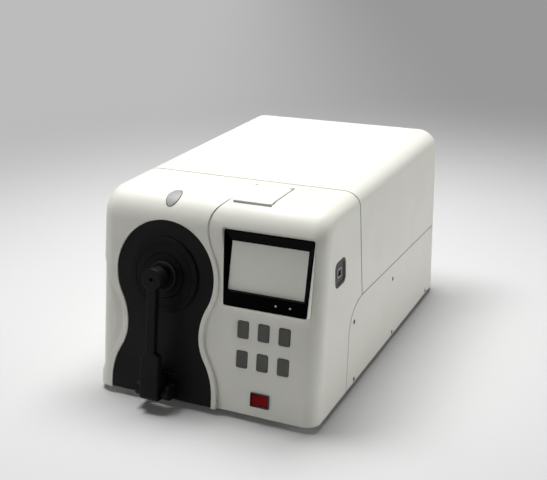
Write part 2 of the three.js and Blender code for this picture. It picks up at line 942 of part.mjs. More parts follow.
// Base pan: side walls and floor, bosses for the chassis, window for the rear panel
const floorTop = footHeight + wall;
const chassisBottom = floorTop + chassisLift;
const chassisTop = chassisBottom + chassisThickness;
const footPlaces = [];
for (const y of [feetInsetFront, bodyDepth - feetInsetFront]) {
  for (const side of [-1, 1]) {
    footPlaces.push({ x: side * (bodyWidth / 2 - feetInsetX), y });
  }
}
const windowLow = footHeight + rearWindowLow;
const windowHigh = footHeight + rearWindowHigh;

function basePan() {
  let pan = common(cut(outerHull, caseHull(wall, floorTop)), baseRegion(seamGap));
  pan = cut(
    pan,
    common(tongueSpace, frontRegion(tongueClear)),
    common(tongueSpace, rearRegion(seamGap, tongueClear)),
  );
  const floor = common(
    caseHull(wall + fit, footHeight),
    block([-farSide, -overrun, footHeight], [farSide, farBack, floorTop]),
  );
  pan = join(pan, floor);
  for (const side of [-1, 1]) {
    for (const y of [chassisFront + panBossInsetY, chassisRear - panBossInsetY]) {
      const boss = rod(panBossRadius, footHeight + wall / 2, chassisBottom - fit);
      pan = join(pan, boss.translate(side * (chassisHalfWidth - panBossInsetX), y, 0));
    }
    const faceX = side * (bodyWidth / 2);
    const recesses = [
      [screwDepths.first, screwUpperHeight],
      [screwDepths.middle, screwUpperHeight],
      [screwDepths.first, screwLowerHeight],
      [screwDepths.middle, screwLowerHeight],
      [screwDepths.last, screwLowerHeight],
    ];
    for (const [depth, height] of recesses) {
      const recess = crossRod(
        screwRecessRadius, faceX - screwRecessDepth, faceX + screwRecessDepth, screwRecessSteps,
      );
      pan = cut(pan, recess.translate(0, depth, footHeight + height));
    }
  }
  for (const foot of footPlaces) {
    pan = cut(pan, rod(feetSpigotRadius + fit, below, floorTop + fit).translate(foot.x, foot.y, 0));
  }
  return cut(pan, block(
    [-rearWindowHalf, bodyDepth - 2 * wall, windowLow],
    [rearWindowHalf, farBack, windowHigh],
  ));
}
mesh('base_pan', basePan(), shellWhite);

// Feet, each with a spigot up through the floor and a dished sole
for (const [index, foot] of footPlaces.entries()) {
  const soleTop = footHeight - fit;
  const rubber = cut(
    turned([
      point(0, 0),
      point(feetSoleRadius, 0),
      point(feetRadius, soleTop),
      point(feetSpigotRadius, soleTop),
      point(feetSpigotRadius, soleTop + feetSpigotHeight),
      point(0, soleTop + feetSpigotHeight),
    ], smallTurnSteps),
    rod(feetDishRadius, -feetDishDepth, feetDishDepth),
  );
  const corner = ['front_left', 'front_right', 'rear_left', 'rear_right'][index];
  mesh(`foot_${corner}`, rubber, rubberBlack).position.set(foot.x, foot.y, 0);
}

// Port: keyhole panel, flange and aperture mask, the last two on the port's axis
const portGroup = groupIn(colorimeter, portFrame);
const axisGroup = new THREE.Group();
axisGroup.position.set(0, portHeight, 0);
portGroup.add(axisGroup);
const panelFront = -panelSink;
const portPanel = cut(
  prism(keyhole(0, panelFootGap), panelFront - panelThickness, panelFront),
  rod(flangeBodyRadius + slideFit, -overrun, overrun, turnSteps).translate(0, portHeight, 0),
);
mesh('port_panel', portPanel, blackPlastic, portGroup);

const maskSeat = maskSeatProud - fit;
const maskFront = maskSeatProud + maskThickness;
mesh('port_flange', turned(closed([
  point(flangeBore, -flangeBack),
  point(flangeBodyRadius, -flangeBack),
  point(flangeBodyRadius, panelFront + fit),
  point(flangeRadius, panelFront + fit),
  point(flangeRadius, flangeProud - flangeChamfer),
  point(flangeRadius - flangeChamfer, flangeProud),
  point(maskRadius + fit, flangeProud),
  point(maskRadius + fit, maskSeat),
  point(flangeBore, maskSeat),
])), blackPlastic, axisGroup);
mesh('aperture_mask', turned(closed([
  point(apertureBackRadius, maskSeatProud),
  point(maskRadius, maskSeatProud),
  point(maskRadius, maskFront - flangeChamfer),
  point(maskRadius - flangeChamfer, maskFront),
  point(apertureRadius, maskFront),
])), blackPlastic, axisGroup);

// Hinge bracket, its pin and the return spring round it
const pivotFrame = shifted(identity, 0, armPivotHeight, armPivotProud);
const bracketBack = panelFront + fit;
const bracketFront = bracketBack + bracketThickness;
const earOuterHalf = earInnerHalf + earThickness;

function hingeBracket() {
  let bracket = solidOf(block(
    [-earOuterHalf, bracketBottom, bracketBack],
    [earOuterHalf, bracketTop, bracketFront],
  ));
  for (const side of [-1, 1]) {
    const ear = outline(
      [point(armPivotHeight - earRadius, bracketBack), point(armPivotHeight + earRadius, bracketBack)],
      arc(armPivotHeight, armPivotProud, earRadius, 0, Math.PI, keyholeSteps),
    );
    const [from, to] = side < 0 ? [-earOuterHalf, -earInnerHalf] : [earInnerHalf, earOuterHalf];
    bracket = join(bracket, across(ear, from, to));
  }
  return cut(bracket, moved(crossRod(pinRadius + fit, -farSide, farSide), pivotFrame));
}
mesh('hinge_bracket', hingeBracket(), blackPlastic, portGroup);
mesh(
  'hinge_pin',
  moved(crossRod(pinRadius, -earOuterHalf - pinOverhang, earOuterHalf + pinOverhang), pivotFrame),
  steel,
  portGroup,
);
const armSpringRise = armSpringTurns * armSpringPitch;
const armCoil = coil(armSpringRadius, armSpringRise, armSpringTurns).translate(0, 0, -armSpringRise / 2);
mesh('arm_spring', moved(armCoil, pivotFrame.clone().multiply(acrossFrame)), steel, portGroup);

// Sample arm: a stepped foot, a bar and a round head with a bore for the pad's plunger
const armBarBack = armFrontProud - armBarThickness;

function sampleArm() {
  const frontView = outline([
    point(-armFootHalf, armFootBottom),
    point(armFootHalf, armFootBottom),
    point(armFootHalf, armShoulder),
    point(armBarHalf, armShoulder + armShoulderRise),
    point(armBarHalf, portHeight),
    point(-armBarHalf, portHeight),
    point(-armBarHalf, armShoulder + armShoulderRise),
    point(-armFootHalf, armShoulder),
  ]);
  const heel = point(armFootBottom + armHeelRadius, armFootBack + armHeelRadius);
  const toe = point(armFootBottom + armToeRadius, armFrontProud - armToeRadius);
  const sideView = outline(
    arc(heel.x, heel.y, armHeelRadius, Math.PI, 3 * quarter, keyholeSteps),
    [point(armFootBackTop, armFootBack), point(armBarBackBottom, armBarBack)],
    [point(portHeight, armBarBack), point(portHeight, armFrontProud)],
    arc(toe.x, toe.y, armToeRadius, quarter, Math.PI, keyholeSteps),
  );
  const beam = common(prism(frontView, 0, armFrontProud + overrun), across(sideView, -farSide, farSide));
  const head = turned([
    point(0, armHeadBack),
    point(armHeadRadius, armHeadBack),
    point(armHeadRadius, armHeadFront - armEdgeRound),
    point(armHeadRadius - armEdgeRound, armHeadFront),
    point(0, armHeadFront),
  ], headSteps).translate(0, portHeight, 0);
  const boreFloor = armHeadBack + springBoreDepth;
  return cut(
    join(beam, head),
    rod(springBoreRadius, 0, boreFloor, headSteps).translate(0, portHeight, 0),
    rod(plungerRadius + fit, 0, boreFloor + plungerReach).translate(0, portHeight, 0),
    rod(guideHoleRadius, 0, armHeadFront + overrun).translate(0, portHeight, 0),
    moved(crossRod(pinRadius + fit, -farSide, farSide), pivotFrame),
    moved(crossRod(armSlotRadius, -armSlotHalf, armSlotHalf), pivotFrame),
  );
}
mesh('sample_arm', sampleArm(), blackPlastic, portGroup);

// Sample pad, its holder with the plunger, and the spring behind it
const padFront = maskFront + fit;
const padBack = padFront + padThickness;
const plateFront = padBack + fit;
const plateBack = plateFront + plateThickness;
mesh('sample_pad', turned([
  point(0, padFront),
  point(padRadius - flangeChamfer, padFront),
  point(padRadius, padFront + flangeChamfer),
  point(padRadius, padBack),
  point(0, padBack),
], headSteps), rubberBlack, axisGroup);
mesh('pad_holder', turned([
  point(0, plateFront),
  point(plateRadius, plateFront),
  point(plateRadius, plateBack),
  point(plungerRadius, plateBack),
  point(plungerRadius, plateBack + plungerLength),
  point(0, plateBack + plungerLength),
], headSteps), blackPlastic, axisGroup);
const padSpringStart = plateBack + fit + springWire / 2;
const padSpringEnd = armHeadBack + springBoreDepth - fit - springWire / 2;
const padCoil = coil(padSpringRadius, padSpringEnd - padSpringStart, padSpringTurns);
mesh('pad_spring', padCoil.translate(0, 0, padSpringStart), steel, axisGroup);

// Integrating sphere in two halves, bored for the port, the lamp and the viewing tube
const sphereInner = sphereOuter - sphereWall;
const bowlArc = (radius, from, to) => arc(-sphereSetback, 0, radius, from, to, sphereArcSteps)
  .map((p) => point(Math.max(p.y, 0), p.x));
const frontSplit = -sphereSetback + fit / 2;
const rearSplit = -sphereSetback - fit / 2;
const flangeFrontAt = -sphereSetback + sphereFlangeThickness;
const flangeRearAt = -sphereSetback - sphereFlangeThickness;
const ringHole = portRingRadius + fit;
const innerEquator = Math.asin(fit / 2 / sphereInner);
const outerEquator = Math.asin(sphereFlangeThickness / sphereOuter);

const frontHalf = turned(closed([
  ...bowlArc(sphereInner, quarter - innerEquator, Math.asin(ringHole / sphereInner)),
  ...bowlArc(sphereOuter, Math.asin(ringHole / sphereOuter), quarter - outerEquator),
  point(sphereFlangeRadius, flangeFrontAt),
  point(sphereFlangeRadius, frontSplit),
]), sphereTurnSteps);
mesh('sphere_front_half', frontHalf, sphereWhite, axisGroup);

// Port ring: lines the hole in the front half and reaches up to the flange's back
const ringFront = -flangeBack - fit;
const ringBack = Math.sqrt(sphereInner ** 2 - portRingRadius ** 2) - sphereSetback;
mesh('sphere_port_ring', turned(closed([
  point(flangeBore, ringBack),
  point(portRingRadius, ringBack),
  point(portRingRadius, ringFront),
  point(flangeBore, ringFront),
]), sphereTurnSteps), sphereWhite, axisGroup);

const rearHalf = cut(
  turned([
    ...bowlArc(sphereInner, Math.PI, quarter + innerEquator),
    point(sphereFlangeRadius, rearSplit),
    point(sphereFlangeRadius, flangeRearAt),
    ...bowlArc(sphereOuter, quarter + outerEquator, Math.PI),
  ], sphereTurnSteps),
  moved(rod(lampBore, 0, lampStart + overrun), lampInPort),
  moved(rod(viewBore, sphereSetback, tubeStart), viewInPort),
);
mesh('sphere_rear_half', rearHalf, sphereWhite, axisGroup);

// Flash lamp in a finned housing on the sphere's rear half
const lampGroup = groupIn(axisGroup, lampInPort);
const lampEnd = lampStart + lampLength;
const lampInner = lampTubeRadius - lampTubeWall;
const finPoints = [];
for (let i = 0; i < finCount; i += 1) {
  const base = lampEnd - finThickness - i * finPitch;
  finPoints.push(
    point(finRadius, base + finThickness),
    point(finRadius, base),
    point(lampTubeRadius, base),
    point(lampTubeRadius, base - finPitch + finThickness),
  );
}
finPoints.pop();
mesh('lamp_housing', turned([
  point(0, lampEnd),
  ...finPoints,
  point(lampTubeRadius, lampStart),
  point(lampInner, lampStart),
  point(lampInner, lampEnd - lampBackThickness),
  point(0, lampEnd - lampBackThickness),
], smallTurnSteps), aluminium, lampGroup);
const bulbBack = lampEnd - lampBackThickness - fit;
mesh('flash_lamp', turned([
  point(0, bulbBack),
  point(bulbBaseRadius, bulbBack),
  point(bulbBaseRadius, bulbBack - bulbBaseLength),
  point(bulbRadius, bulbBack - bulbBaseLength),
  point(bulbRadius, bulbBack - bulbLength),
  point(0, bulbBack - bulbLength - bulbRadius),
], smallTurnSteps), lampWhite, lampGroup);

// Viewing tube with its lens, and the spectrometer behind it; here Y points down
const viewGroup = groupIn(axisGroup, viewInPort);
const tubeEnd = tubeStart + tubeLength;
const lensSeat = tubeEnd - lensSetback;
mesh('lens_tube', turned(closed([
  point(viewBore, tubeStart),
  point(tubeRadius, tubeStart),
  point(tubeRadius, tubeEnd),
  point(viewBore + lensRim, tubeEnd),
  point(viewBore + lensRim, lensSeat),
  point(viewBore, lensSeat),
]), smallTurnSteps), aluminium, viewGroup);
const lensRadius = viewBore + lensRim - fit;
mesh('viewing_lens', turned([
  point(0, lensSeat + fit),
  point(lensRadius, lensSeat + fit),
  point(lensRadius, lensSeat + fit + lensThickness / 2),
  point(lensRadius / 2, lensSeat + fit + lensThickness),
  point(0, lensSeat + fit + lensThickness + lensCrown),
], smallTurnSteps), clearGlass, viewGroup);

const opticsFront = tubeEnd + fit;
const opticsBack = opticsFront + opticsLength;
const opticsBox = (grow, top) => block(
  [-opticsWidth / 2 - grow, -opticsHeight / 2 - top, opticsFront - grow],
  [opticsWidth / 2 + grow, opticsHeight / 2 + grow, opticsBack + grow],
);
const opticsHousing = cut(
  opticsBox(0, 0),
  block(
    [opticsWall - opticsWidth / 2, -opticsHeight, opticsFront + opticsWall],
    [opticsWidth / 2 - opticsWall, opticsHeight / 2 - opticsWall, opticsBack - opticsWall],
  ),
  rod(viewBore, tubeEnd, opticsFront + 2 * opticsWall),
);
mesh('spectrometer_housing', opticsHousing, blackPlastic, viewGroup);
const coverLow = -opticsHeight / 2 - fit;
mesh('spectrometer_cover', join(
  block(
    [-opticsWidth / 2, coverLow - opticsLidThickness, opticsFront],
    [opticsWidth / 2, coverLow, opticsBack],
  ),
  block(
    [opticsWall + fit - opticsWidth / 2, coverLow - opticsLidThickness / 2, opticsFront + opticsWall + fit],
    [opticsWidth / 2 - opticsWall - fit, coverLow + opticsLidThickness, opticsBack - opticsWall - fit],
  ),
), blackPlastic, viewGroup);
mesh(
  'diffraction_grating',
  rod(gratingRadius, opticsBack - opticsWall - fit - gratingThickness, opticsBack - opticsWall - fit)
    .translate(gratingOffset, 0, 0),
  clearGlass,
  viewGroup,
);
const sensorFront = opticsFront + opticsWall + fit;
mesh('line_sensor', join(
  block(
    [sensorOffset - sensorWidth / 2 + fit, -sensorHeight / 2, sensorFront],
    [sensorOffset + sensorWidth / 2 - sensorThickness, sensorHeight / 2, sensorFront + sensorThickness / 2],
  ),
  block(
    [sensorOffset - sensorWidth / 4, -sensorHeight / 4, sensorFront],
    [sensorOffset + sensorWidth / 4, sensorHeight / 4, sensorFront + sensorThickness],
  ),
), boardGreen, viewGroup);

// Chassis plate on the pan's bosses, with posts for the main board
const boardPostTop = chassisTop + mainBoardLift - fit;

function chassisPlate() {
  let plate = solidOf(prism(
    roundedRect(-chassisHalfWidth, chassisFront, chassisHalfWidth, chassisRear, panBossRadius),
    chassisBottom,
    chassisTop,
  ));
  for (const x of [mainBoardLeft + boardPostInset, mainBoardRight - boardPostInset]) {
    for (const y of [mainBoardFront + boardPostInset, mainBoardRear - boardPostInset]) {
      const post = rod(boardPostRadius, chassisBottom + chassisThickness / 2, boardPostTop);
      plate = join(plate, post.translate(x, y, 0));
    }
  }
  return plate;
}
mesh('chassis_plate', chassisPlate(), aluminium);

// An arched stand seen from the front, standing on the chassis under the port's axis
const standFoot = chassisTop + fit;

function archedStand({ front, thickness, baseHalf, topHalf, top }) {
  const height = top - standFoot;
  const arch = height * standArchShare;
  const legs = outline(
    [point(portX + arch, 0), point(portX + baseHalf, 0), point(portX + topHalf, height)],
    [point(portX - topHalf, height), point(portX - baseHalf, 0), point(portX - arch, 0)],
    arc(portX, 0, arch, Math.PI, 0, keyholeSteps),
  );
  return moved(prism(legs, -front - thickness, -front), upright).translate(0, 0, standFoot);
}

const sphereCentre = new THREE.Vector3(0, 0, -sphereSetback).applyMatrix4(portAxis);
const ballProfile = arc(-sphereSetback, 0, sphereOuter + fit, 0, Math.PI, sphereTurnSteps)
  .map((p) => point(Math.max(p.y, 0), p.x));
const sphereFlange = rod(
  sphereFlangeRadius + fit, flangeRearAt - fit, flangeFrontAt + fit, sphereTurnSteps,
);
mesh('sphere_stand', cut(
  archedStand({
    front: standDepth,
    thickness: standThickness,
    baseHalf: standBaseHalf,
    topHalf: standTopHalf,
    top: sphereCentre.z - standBelowSphere,
  }),
  moved(turned(ballProfile, sphereTurnSteps), portAxis),
  moved(sphereFlange, portAxis),
), aluminium);
mesh('spectrometer_stand', cut(
  archedStand({
    front: opticsStandSetback,
    thickness: opticsStandDepth,
    baseHalf: opticsStandWidth / 2,
    topHalf: opticsStandWidth / 2,
    top: sphereCentre.z - opticsStandBelowSphere,
  }),
  moved(opticsBox(fit, overrun), portAxis.clone().multiply(viewInPort)),
), aluminium);

// Main board with its tallest parts
function mainBoard() {
  const low = chassisTop + mainBoardLift;
  const high = low + boardThickness;
  const length = mainBoardRear - mainBoardFront;
  let board = solidOf(block([mainBoardLeft, mainBoardFront, low], [mainBoardRight, mainBoardRear, high]));
  for (const [x, y, w, l, h] of chipShares) {
    const chipX = mainBoardLeft + mainBoardWidth * x;
    const chipY = mainBoardFront + length * y;
    board = join(board, block(
      [chipX, chipY, low + boardThickness / 2],
      [chipX + mainBoardWidth * w, chipY + length * l, high + chipHeight * h],
    ));
  }
  return board;
}
mesh('main_board', mainBoard(), boardGreen);

// Power supply, a folded box with cooling slots in its top
function powerSupply() {
  const low = chassisTop + fit;
  const high = low + supplyHeight;
  let supply = solidOf(block([supplyLeft, supplyFront, low], [supplyRight, supplyRear, high]));
  const first = (supplyLeft + supplyRight) / 2 - ((supplySlotCount - 1) / 2) * supplySlotPitch;
  for (let i = 0; i < supplySlotCount; i += 1) {
    const x = first + i * supplySlotPitch;
    supply = cut(supply, block(
      [x - supplySlotWidth / 2, supplyFront + supplySlotPitch, high - supplySlotDepth],
      [x + supplySlotWidth / 2, supplyRear - supplySlotPitch, high + supplySlotDepth],
    ));
  }
  return supply;
}
mesh('power_supply', powerSupply(), aluminium);

// Rear panel behind the pan's window; in its frame X points left seen from the front
const rearFrame = new THREE.Matrix4().makeBasis(
  new THREE.Vector3(-1, 0, 0),
  new THREE.Vector3(0, 0, 1),
  new THREE.Vector3(0, 1, 0),
).setPosition(0, bodyDepth - wall - fit, 0);
const rearGroup = groupIn(colorimeter, rearFrame);
const portLevel = footHeight + inletHeight;

function rearPanel() {
  let panel = solidOf(block(
    [-rearWindowHalf - rearPanelLap, windowLow - rearPanelLap, -rearPanelThickness],
    [rearWindowHalf + rearPanelLap, windowHigh + rearPanelLap, 0],
  ));
  for (let i = 0; i < ventCount; i += 1) {
    const x = -ventCentreX + (i - (ventCount - 1) / 2) * ventPitch;
    const slot = plateOutline(x, portLevel, ventWidth, ventHeight, ventWidth / 2 - weldTolerance);
    panel = cut(panel, prism(slot, -overrun, overrun));
  }
  const inletHole = plateOutline(
    -inletX, portLevel, inletBodyWidth + 2 * fit, inletBodyHeight + 2 * fit, switchCorner,
  );
  const dataHole = plateOutline(
    -dataX, portLevel, socketWidth + 2 * fit, socketHeight + 2 * fit, socketWall,
  );
  return cut(panel, prism(inletHole, -overrun, overrun), prism(dataHole, -overrun, overrun));
}
mesh('rear_panel', rearPanel(), aluminium, rearGroup);

// Mains inlet: a flange outside the panel, a body through it, three blades in a recess
function powerInlet() {
  const face = fit + inletFlangeThickness;
  let inlet = join(
    prism(plateOutline(0, 0, inletFlangeWidth, inletFlangeHeight, switchCorner), fit, face),
    prism(plateOutline(0, 0, inletBodyWidth, inletBodyHeight, switchCorner), face - inletBodyDepth, face),
  );
  const cavity = plateOutline(0, 0, inletCavityWidth, inletCavityHeight, switchCorner);
  inlet = cut(inlet, prism(cavity, face - inletCavityDepth, face + overrun));
  for (const place of [-1, 0, 1]) {
    const pinX = place * inletPinPitch;
    const pinY = (place === 0 ? 1 : -1) * (inletPinHeight / 2);
    const root = face - inletCavityDepth - inletPinWidth;
    inlet = join(inlet, block(
      [pinX - inletPinWidth / 2, pinY - inletPinHeight / 2, root],
      [pinX + inletPinWidth / 2, pinY + inletPinHeight / 2, root + inletPinWidth + inletPinLength],
    ));
  }
  return inlet;
}
mesh('power_inlet', powerInlet(), blackPlastic, rearGroup).position.set(-inletX, portLevel, 0);

// A square data socket with a contact tongue, opening towards +Z at height 0
function dataSocket() {
  return join(
    cut(
      prism(plateOutline(0, 0, socketWidth, socketHeight, socketWall / 2), -socketDepth, 0),
      prism(
        plateOutline(0, 0, socketWidth - 2 * socketWall, socketHeight - 2 * socketWall, socketWall / 2),
        -socketCavity,
        overrun,
      ),
    ),
    block(
      [-tongueWidth / 2, -tongueHeight / 2, -socketCavity - socketWall],
      [tongueWidth / 2, tongueHeight / 2, socketTongueLength - socketCavity],
    ),
  );
}
mesh('data_port', dataSocket(), steel, rearGroup).position.set(-dataX, portLevel, 0);

// Display: wedge housing with a flange behind the wall, bezel with a sloped window, panel
const bezelOutline = (grow) => screenOutline(grow - slideFit - screenRim);
const bezelBack = -bezelThickness;
const glassFront = bezelBack - fit;
const glassBack = glassFront - displayThickness;
const windowRight = screenWidth - windowMarginSide;
const windowTop = screenHeight - windowMarginTop;
const glassOutline = (grow) => roundedRect(
  windowMarginSide - panelMargin - grow,
  windowMarginFoot - panelMargin - grow,
  windowRight + panelMargin + grow,
  windowTop + panelMargin + grow,
  panelMargin / 2,
);

function displayHousing() {
  const flangeBackAt = -wall - fit - screenFlangeThickness;
  const flangeOutline = roundedRect(
    screenLeft - screenFlange,
    screenFoot - 2 * screenFlange,
    screenLeft + screenWidth + screenFlange,
    screenFoot + screenHeight + screenFlange,
    screenCorner,
  );
  const flange = common(
    moved(prism(flangeOutline, flangeBackAt, -wall - fit), faceFrame),
    caseHull(wall + fit, footHeight),
  );
  return cut(
    join(flange, moved(prism(screenOutline(-slideFit), -screenDepth, 0), screenFrame)),
    moved(prism(bezelOutline(fit), bezelBack - fit, overrun), screenFrame),
    moved(prism(glassOutline(fit), glassBack - fit, overrun), screenFrame),
    moved(prism(glassOutline(-panelMargin), -screenDepth - overrun, overrun), screenFrame),
  );
}
mesh('display_housing', displayHousing(), shellWhite);

const screenGroup = groupIn(colorimeter, screenFrame);
const statusPlaces = [statusFirst, statusFirst + statusPitch];

function displayBezel() {
  const lipInset = slideFit + screenRim + windowLip;
  const corners = [];
  for (const [depth, x0, y0, x1, y1] of [
    [bezelBack - fit, windowMarginSide, windowMarginFoot, windowRight, windowTop],
    [0, lipInset, windowMarginFoot - windowSlope, screenWidth - lipInset, screenHeight - lipInset],
    [fit, lipInset, windowMarginFoot - windowSlope, screenWidth - lipInset, screenHeight - lipInset],
  ]) {
    for (const x of [x0, x1]) {
      corners.push(new THREE.Vector3(x, y0, depth), new THREE.Vector3(x, y1, depth));
    }
  }
  let bezel = cut(prism(bezelOutline(0), bezelBack, 0), new ConvexGeometry(corners));
  for (const x of statusPlaces) {
    bezel = cut(bezel, rod(lampHoleRadius, -overrun, overrun).translate(x, statusHeight, 0));
  }
  return bezel;
}
mesh('display_bezel', displayBezel(), bezelBlack, screenGroup);
mesh('display_panel', prism(glassOutline(0), glassBack, glassFront), screenGrey, screenGroup);
for (const [index, x] of statusPlaces.entries()) {
  const lamp = turned([
    point(0, bezelBack),
    point(statusRadius, bezelBack),
    point(statusRadius, 0),
    point(0, statusRadius / 2),
  ], barrelSteps);
  const side = ['left', 'right'][index];
  mesh(`status_lamp_${side}`, lamp, clearGlass, screenGroup).position.set(x, statusHeight, 0);
}

// Keys with their flanges behind the wall, the mat that springs them and the key board
const faceGroup = groupIn(colorimeter, faceFrame);
for (const key of keyPlaces) {
  const cap = join(
    softPrism(plateOutline(0, 0, keyWidth, keyHeight, keyCorner), keyFlangeBack, keyProud, keyBevel),
    prism(
      plateOutline(0, 0, keyWidth + 2 * keyFlange, keyHeight + 2 * keyFlange, keyCorner),
      keyFlangeBack,
      -wall - fit,
    ),
  );
  mesh(key.name, cap, keyGrey, faceGroup).position.set(key.x, key.y, 0);
}
const keyGroup = groupIn(faceGroup, shifted(identity, keyCentreX, keyCentreHeight, 0));
const keypadMat = plateOutline(0, 0, matWidth, matHeight, keyCorner);
const keypadBoard = plateOutline(0, 0, 2 * boardHalfWidth, 2 * boardHalfHeight, keyCorner);
mesh('keypad_mat', prism(keypadMat, matFront - matThickness, matFront), rubberBlack, keyGroup);
mesh('keypad_board', prism(keypadBoard, boardFront - boardThickness, boardFront), boardGreen, keyGroup);

// Power switch: a framed body with a rocker that tips across the width
const switchGroup = groupIn(faceGroup, shifted(identity, switchX, switchHeight, 0));
const switchFront = fit + switchFlangeThickness;
const switchFlange = plateOutline(0, 0, switchFlangeWidth, switchFlangeHeight, switchCorner);
const switchBarrel = plateOutline(0, 0, switchBodyWidth, switchBodyHeight, switchCorner);
const switchBody = cut(
  join(prism(switchFlange, fit, switchFront), prism(switchBarrel, -switchBodyDepth, switchFront)),
  block(
    [-rockerRadius - fit, -rockerHeight / 2 - fit, switchFront - rockerWell],
    [rockerRadius + fit, rockerHeight / 2 + fit, switchFront + overrun],
  ),
);
mesh('power_switch_body', switchBody, blackPlastic, switchGroup);
const rockerTip = new THREE.Matrix4().makeRotationY(rockerRest);
const rockerFrame = shifted(identity, 0, 0, -rockerPivotSink).multiply(rockerTip);
const rockerGroup = groupIn(switchGroup, rockerFrame);
const rockerSection = outline(
  arc(0, 0, rockerRadius, -rockerEndLow, rockerEndHigh, keyholeSteps),
  [point(0, rockerDish)],
  arc(0, 0, rockerRadius, Math.PI - rockerEndHigh, Math.PI + rockerEndLow, keyholeSteps),
  [point(-rockerRadius * rockerSoleShare, -rockerSole), point(rockerRadius * rockerSoleShare, -rockerSole)],
);
mesh(
  'power_rocker',
  moved(prism(rockerSection, -rockerHeight / 2, rockerHeight / 2), upright),
  rockerRed,
  rockerGroup,
);

// Measure button, its crown following the rounded edge, and the switch plate under it
const buttonGroup = groupIn(colorimeter, buttonFrame);
const roundTo = (radius) => crossRod(radius, -farSide, farSide, crownSteps);
mesh('measure_button', join(
  common(prism(oval(0), buttonCore, topFrontRadius + overrun), roundTo(topFrontRadius + buttonProud)),
  common(prism(oval(buttonFlange), buttonCore, topFrontRadius + overrun), roundTo(buttonSeat)),
), buttonGrey, buttonGroup);
const tactTop = buttonCore - buttonTravel - fit;
const plateTop = tactTop - tactHeight;
mesh('measure_switch', join(
  block(
    [-switchPlateHalfWidth, -switchPlateHalfLength, plateTop - switchPlateThickness],
    [switchPlateHalfWidth, switchPlateHalfLength, plateTop],
  ),
  block(
    [-tactSize / 2, -tactSize / 2, plateTop - switchPlateThickness / 2],
    [tactSize / 2, tactSize / 2, tactTop],
  ),
), boardGreen, buttonGroup);

// Top lid with a finger lip, hinged at its back edge over a shallow well
const lidTop = bodyTop + lidProud;
const lidHalf = lidWidth / 2;
const lidAxisZ = lidTop - lidBarrelRadius;
const lidPlateRear = lidAxisDepth - lidBarrelRadius - lidRelief;
const lidAxisFrame = shifted(identity, lidCentreX, lidAxisDepth, lidAxisZ);
const coverTopAt = (depth) => plainArc.z + Math.sqrt(topFrontRadius ** 2 - (plainArc.y - depth) ** 2);

function topLid() {
  const mouth = lidMouthFront + fit;
  const section = outline([
    point(lidFrontDepth, coverTopAt(lidMouthFront) + fit - lidLipDrop),
    point(lidMouthFront, coverTopAt(lidMouthFront) + fit),
    point(mouth, coverTopAt(lidMouthFront) + fit),
    point(mouth, lidTop - lidThickness),
    point(lidPlateRear, lidTop - lidThickness),
    point(lidPlateRear, lidTop),
    point(lidFlatDepth, lidTop),
    point((lidFlatDepth + lidFrontDepth) / 2, lidTop - lidNoseDrop / 4),
    point(lidFrontDepth, lidTop - lidNoseDrop),
  ]);
  const neck = block(
    [lidCentreX - lidBarrelHalf, lidPlateRear - lidRelief, lidTop - lidThickness],
    [lidCentreX + lidBarrelHalf, lidAxisDepth, lidTop],
  );
  return cut(
    join(
      across(section, lidCentreX - lidHalf, lidCentreX + lidHalf),
      neck,
      moved(crossRod(lidBarrelRadius, -lidBarrelHalf, lidBarrelHalf, barrelSteps), lidAxisFrame),
    ),
    moved(crossRod(lidPinRadius + fit, -farSide, farSide, barrelSteps), lidAxisFrame),
  );
}
mesh('top_lid', topLid(), shellWhite);
const earHalf = lidBarrelHalf + fit + lidEarThickness;
mesh('lid_pin', moved(crossRod(lidPinRadius, -earHalf, earHalf, barrelSteps), lidAxisFrame), steel);

function lidWell() {
  const flangeTop = bodyTop - wall - fit;
  const flangeLow = flangeTop - wellFlangeThickness;
  const wellBottom = flangeTop - wellDepth;
  const flangeHalf = wellHalfWidth + wellFlange;
  let well = join(
    block([-wellHalfWidth, wellFront, wellBottom], [wellHalfWidth, wellRear, flangeTop]),
    block([-flangeHalf, wellFlangeFront, flangeLow], [flangeHalf, wellFlangeRear, flangeTop]),
  );
  const barrelSpace = lidBarrelHalf + fit;
  well = cut(
    well,
    block(
      [wellWall - wellHalfWidth, wellFront + wellWall, wellBottom + wellWall],
      [wellHalfWidth - wellWall, wellRear - wellWall, bodyTop],
    ),
    block(
      [-barrelSpace, lidAxisDepth - lidBarrelRadius - lidRelief, flangeLow - wellFlangeThickness],
      [barrelSpace, lidAxisDepth + lidBarrelRadius + fit, bodyTop],
    ),
  );
  const axis = shifted(identity, 0, lidAxisDepth, lidAxisZ);
  for (const side of [-1, 1]) {
    const [from, to] = side < 0 ? [-earHalf, -barrelSpace] : [barrelSpace, earHalf];
    well = join(
      well,
      moved(crossRod(lidEarHalf, from, to, barrelSteps), axis),
      block([from, lidAxisDepth - lidEarHalf, flangeLow], [to, lidAxisDepth + lidEarHalf, lidAxisZ]),
    );
  }
  return cut(well, moved(crossRod(lidPinRadius + fit, -farSide, farSide, barrelSteps), axis));
}
mesh('lid_well', lidWell(), shellWhite).position.set(lidCentreX, 0, 0);

// Side port: a dished plate through the right wall, held by a flange, with a data socket
const sideFrame = acrossFrame.clone();
sideFrame.setPosition(bodyWidth / 2 + sidePortProud, sidePortDepth, footHeight + sidePortHeight);
const sideGroup = groupIn(colorimeter, sideFrame);
const sideFlangeFront = -sidePortProud - wall - fit;

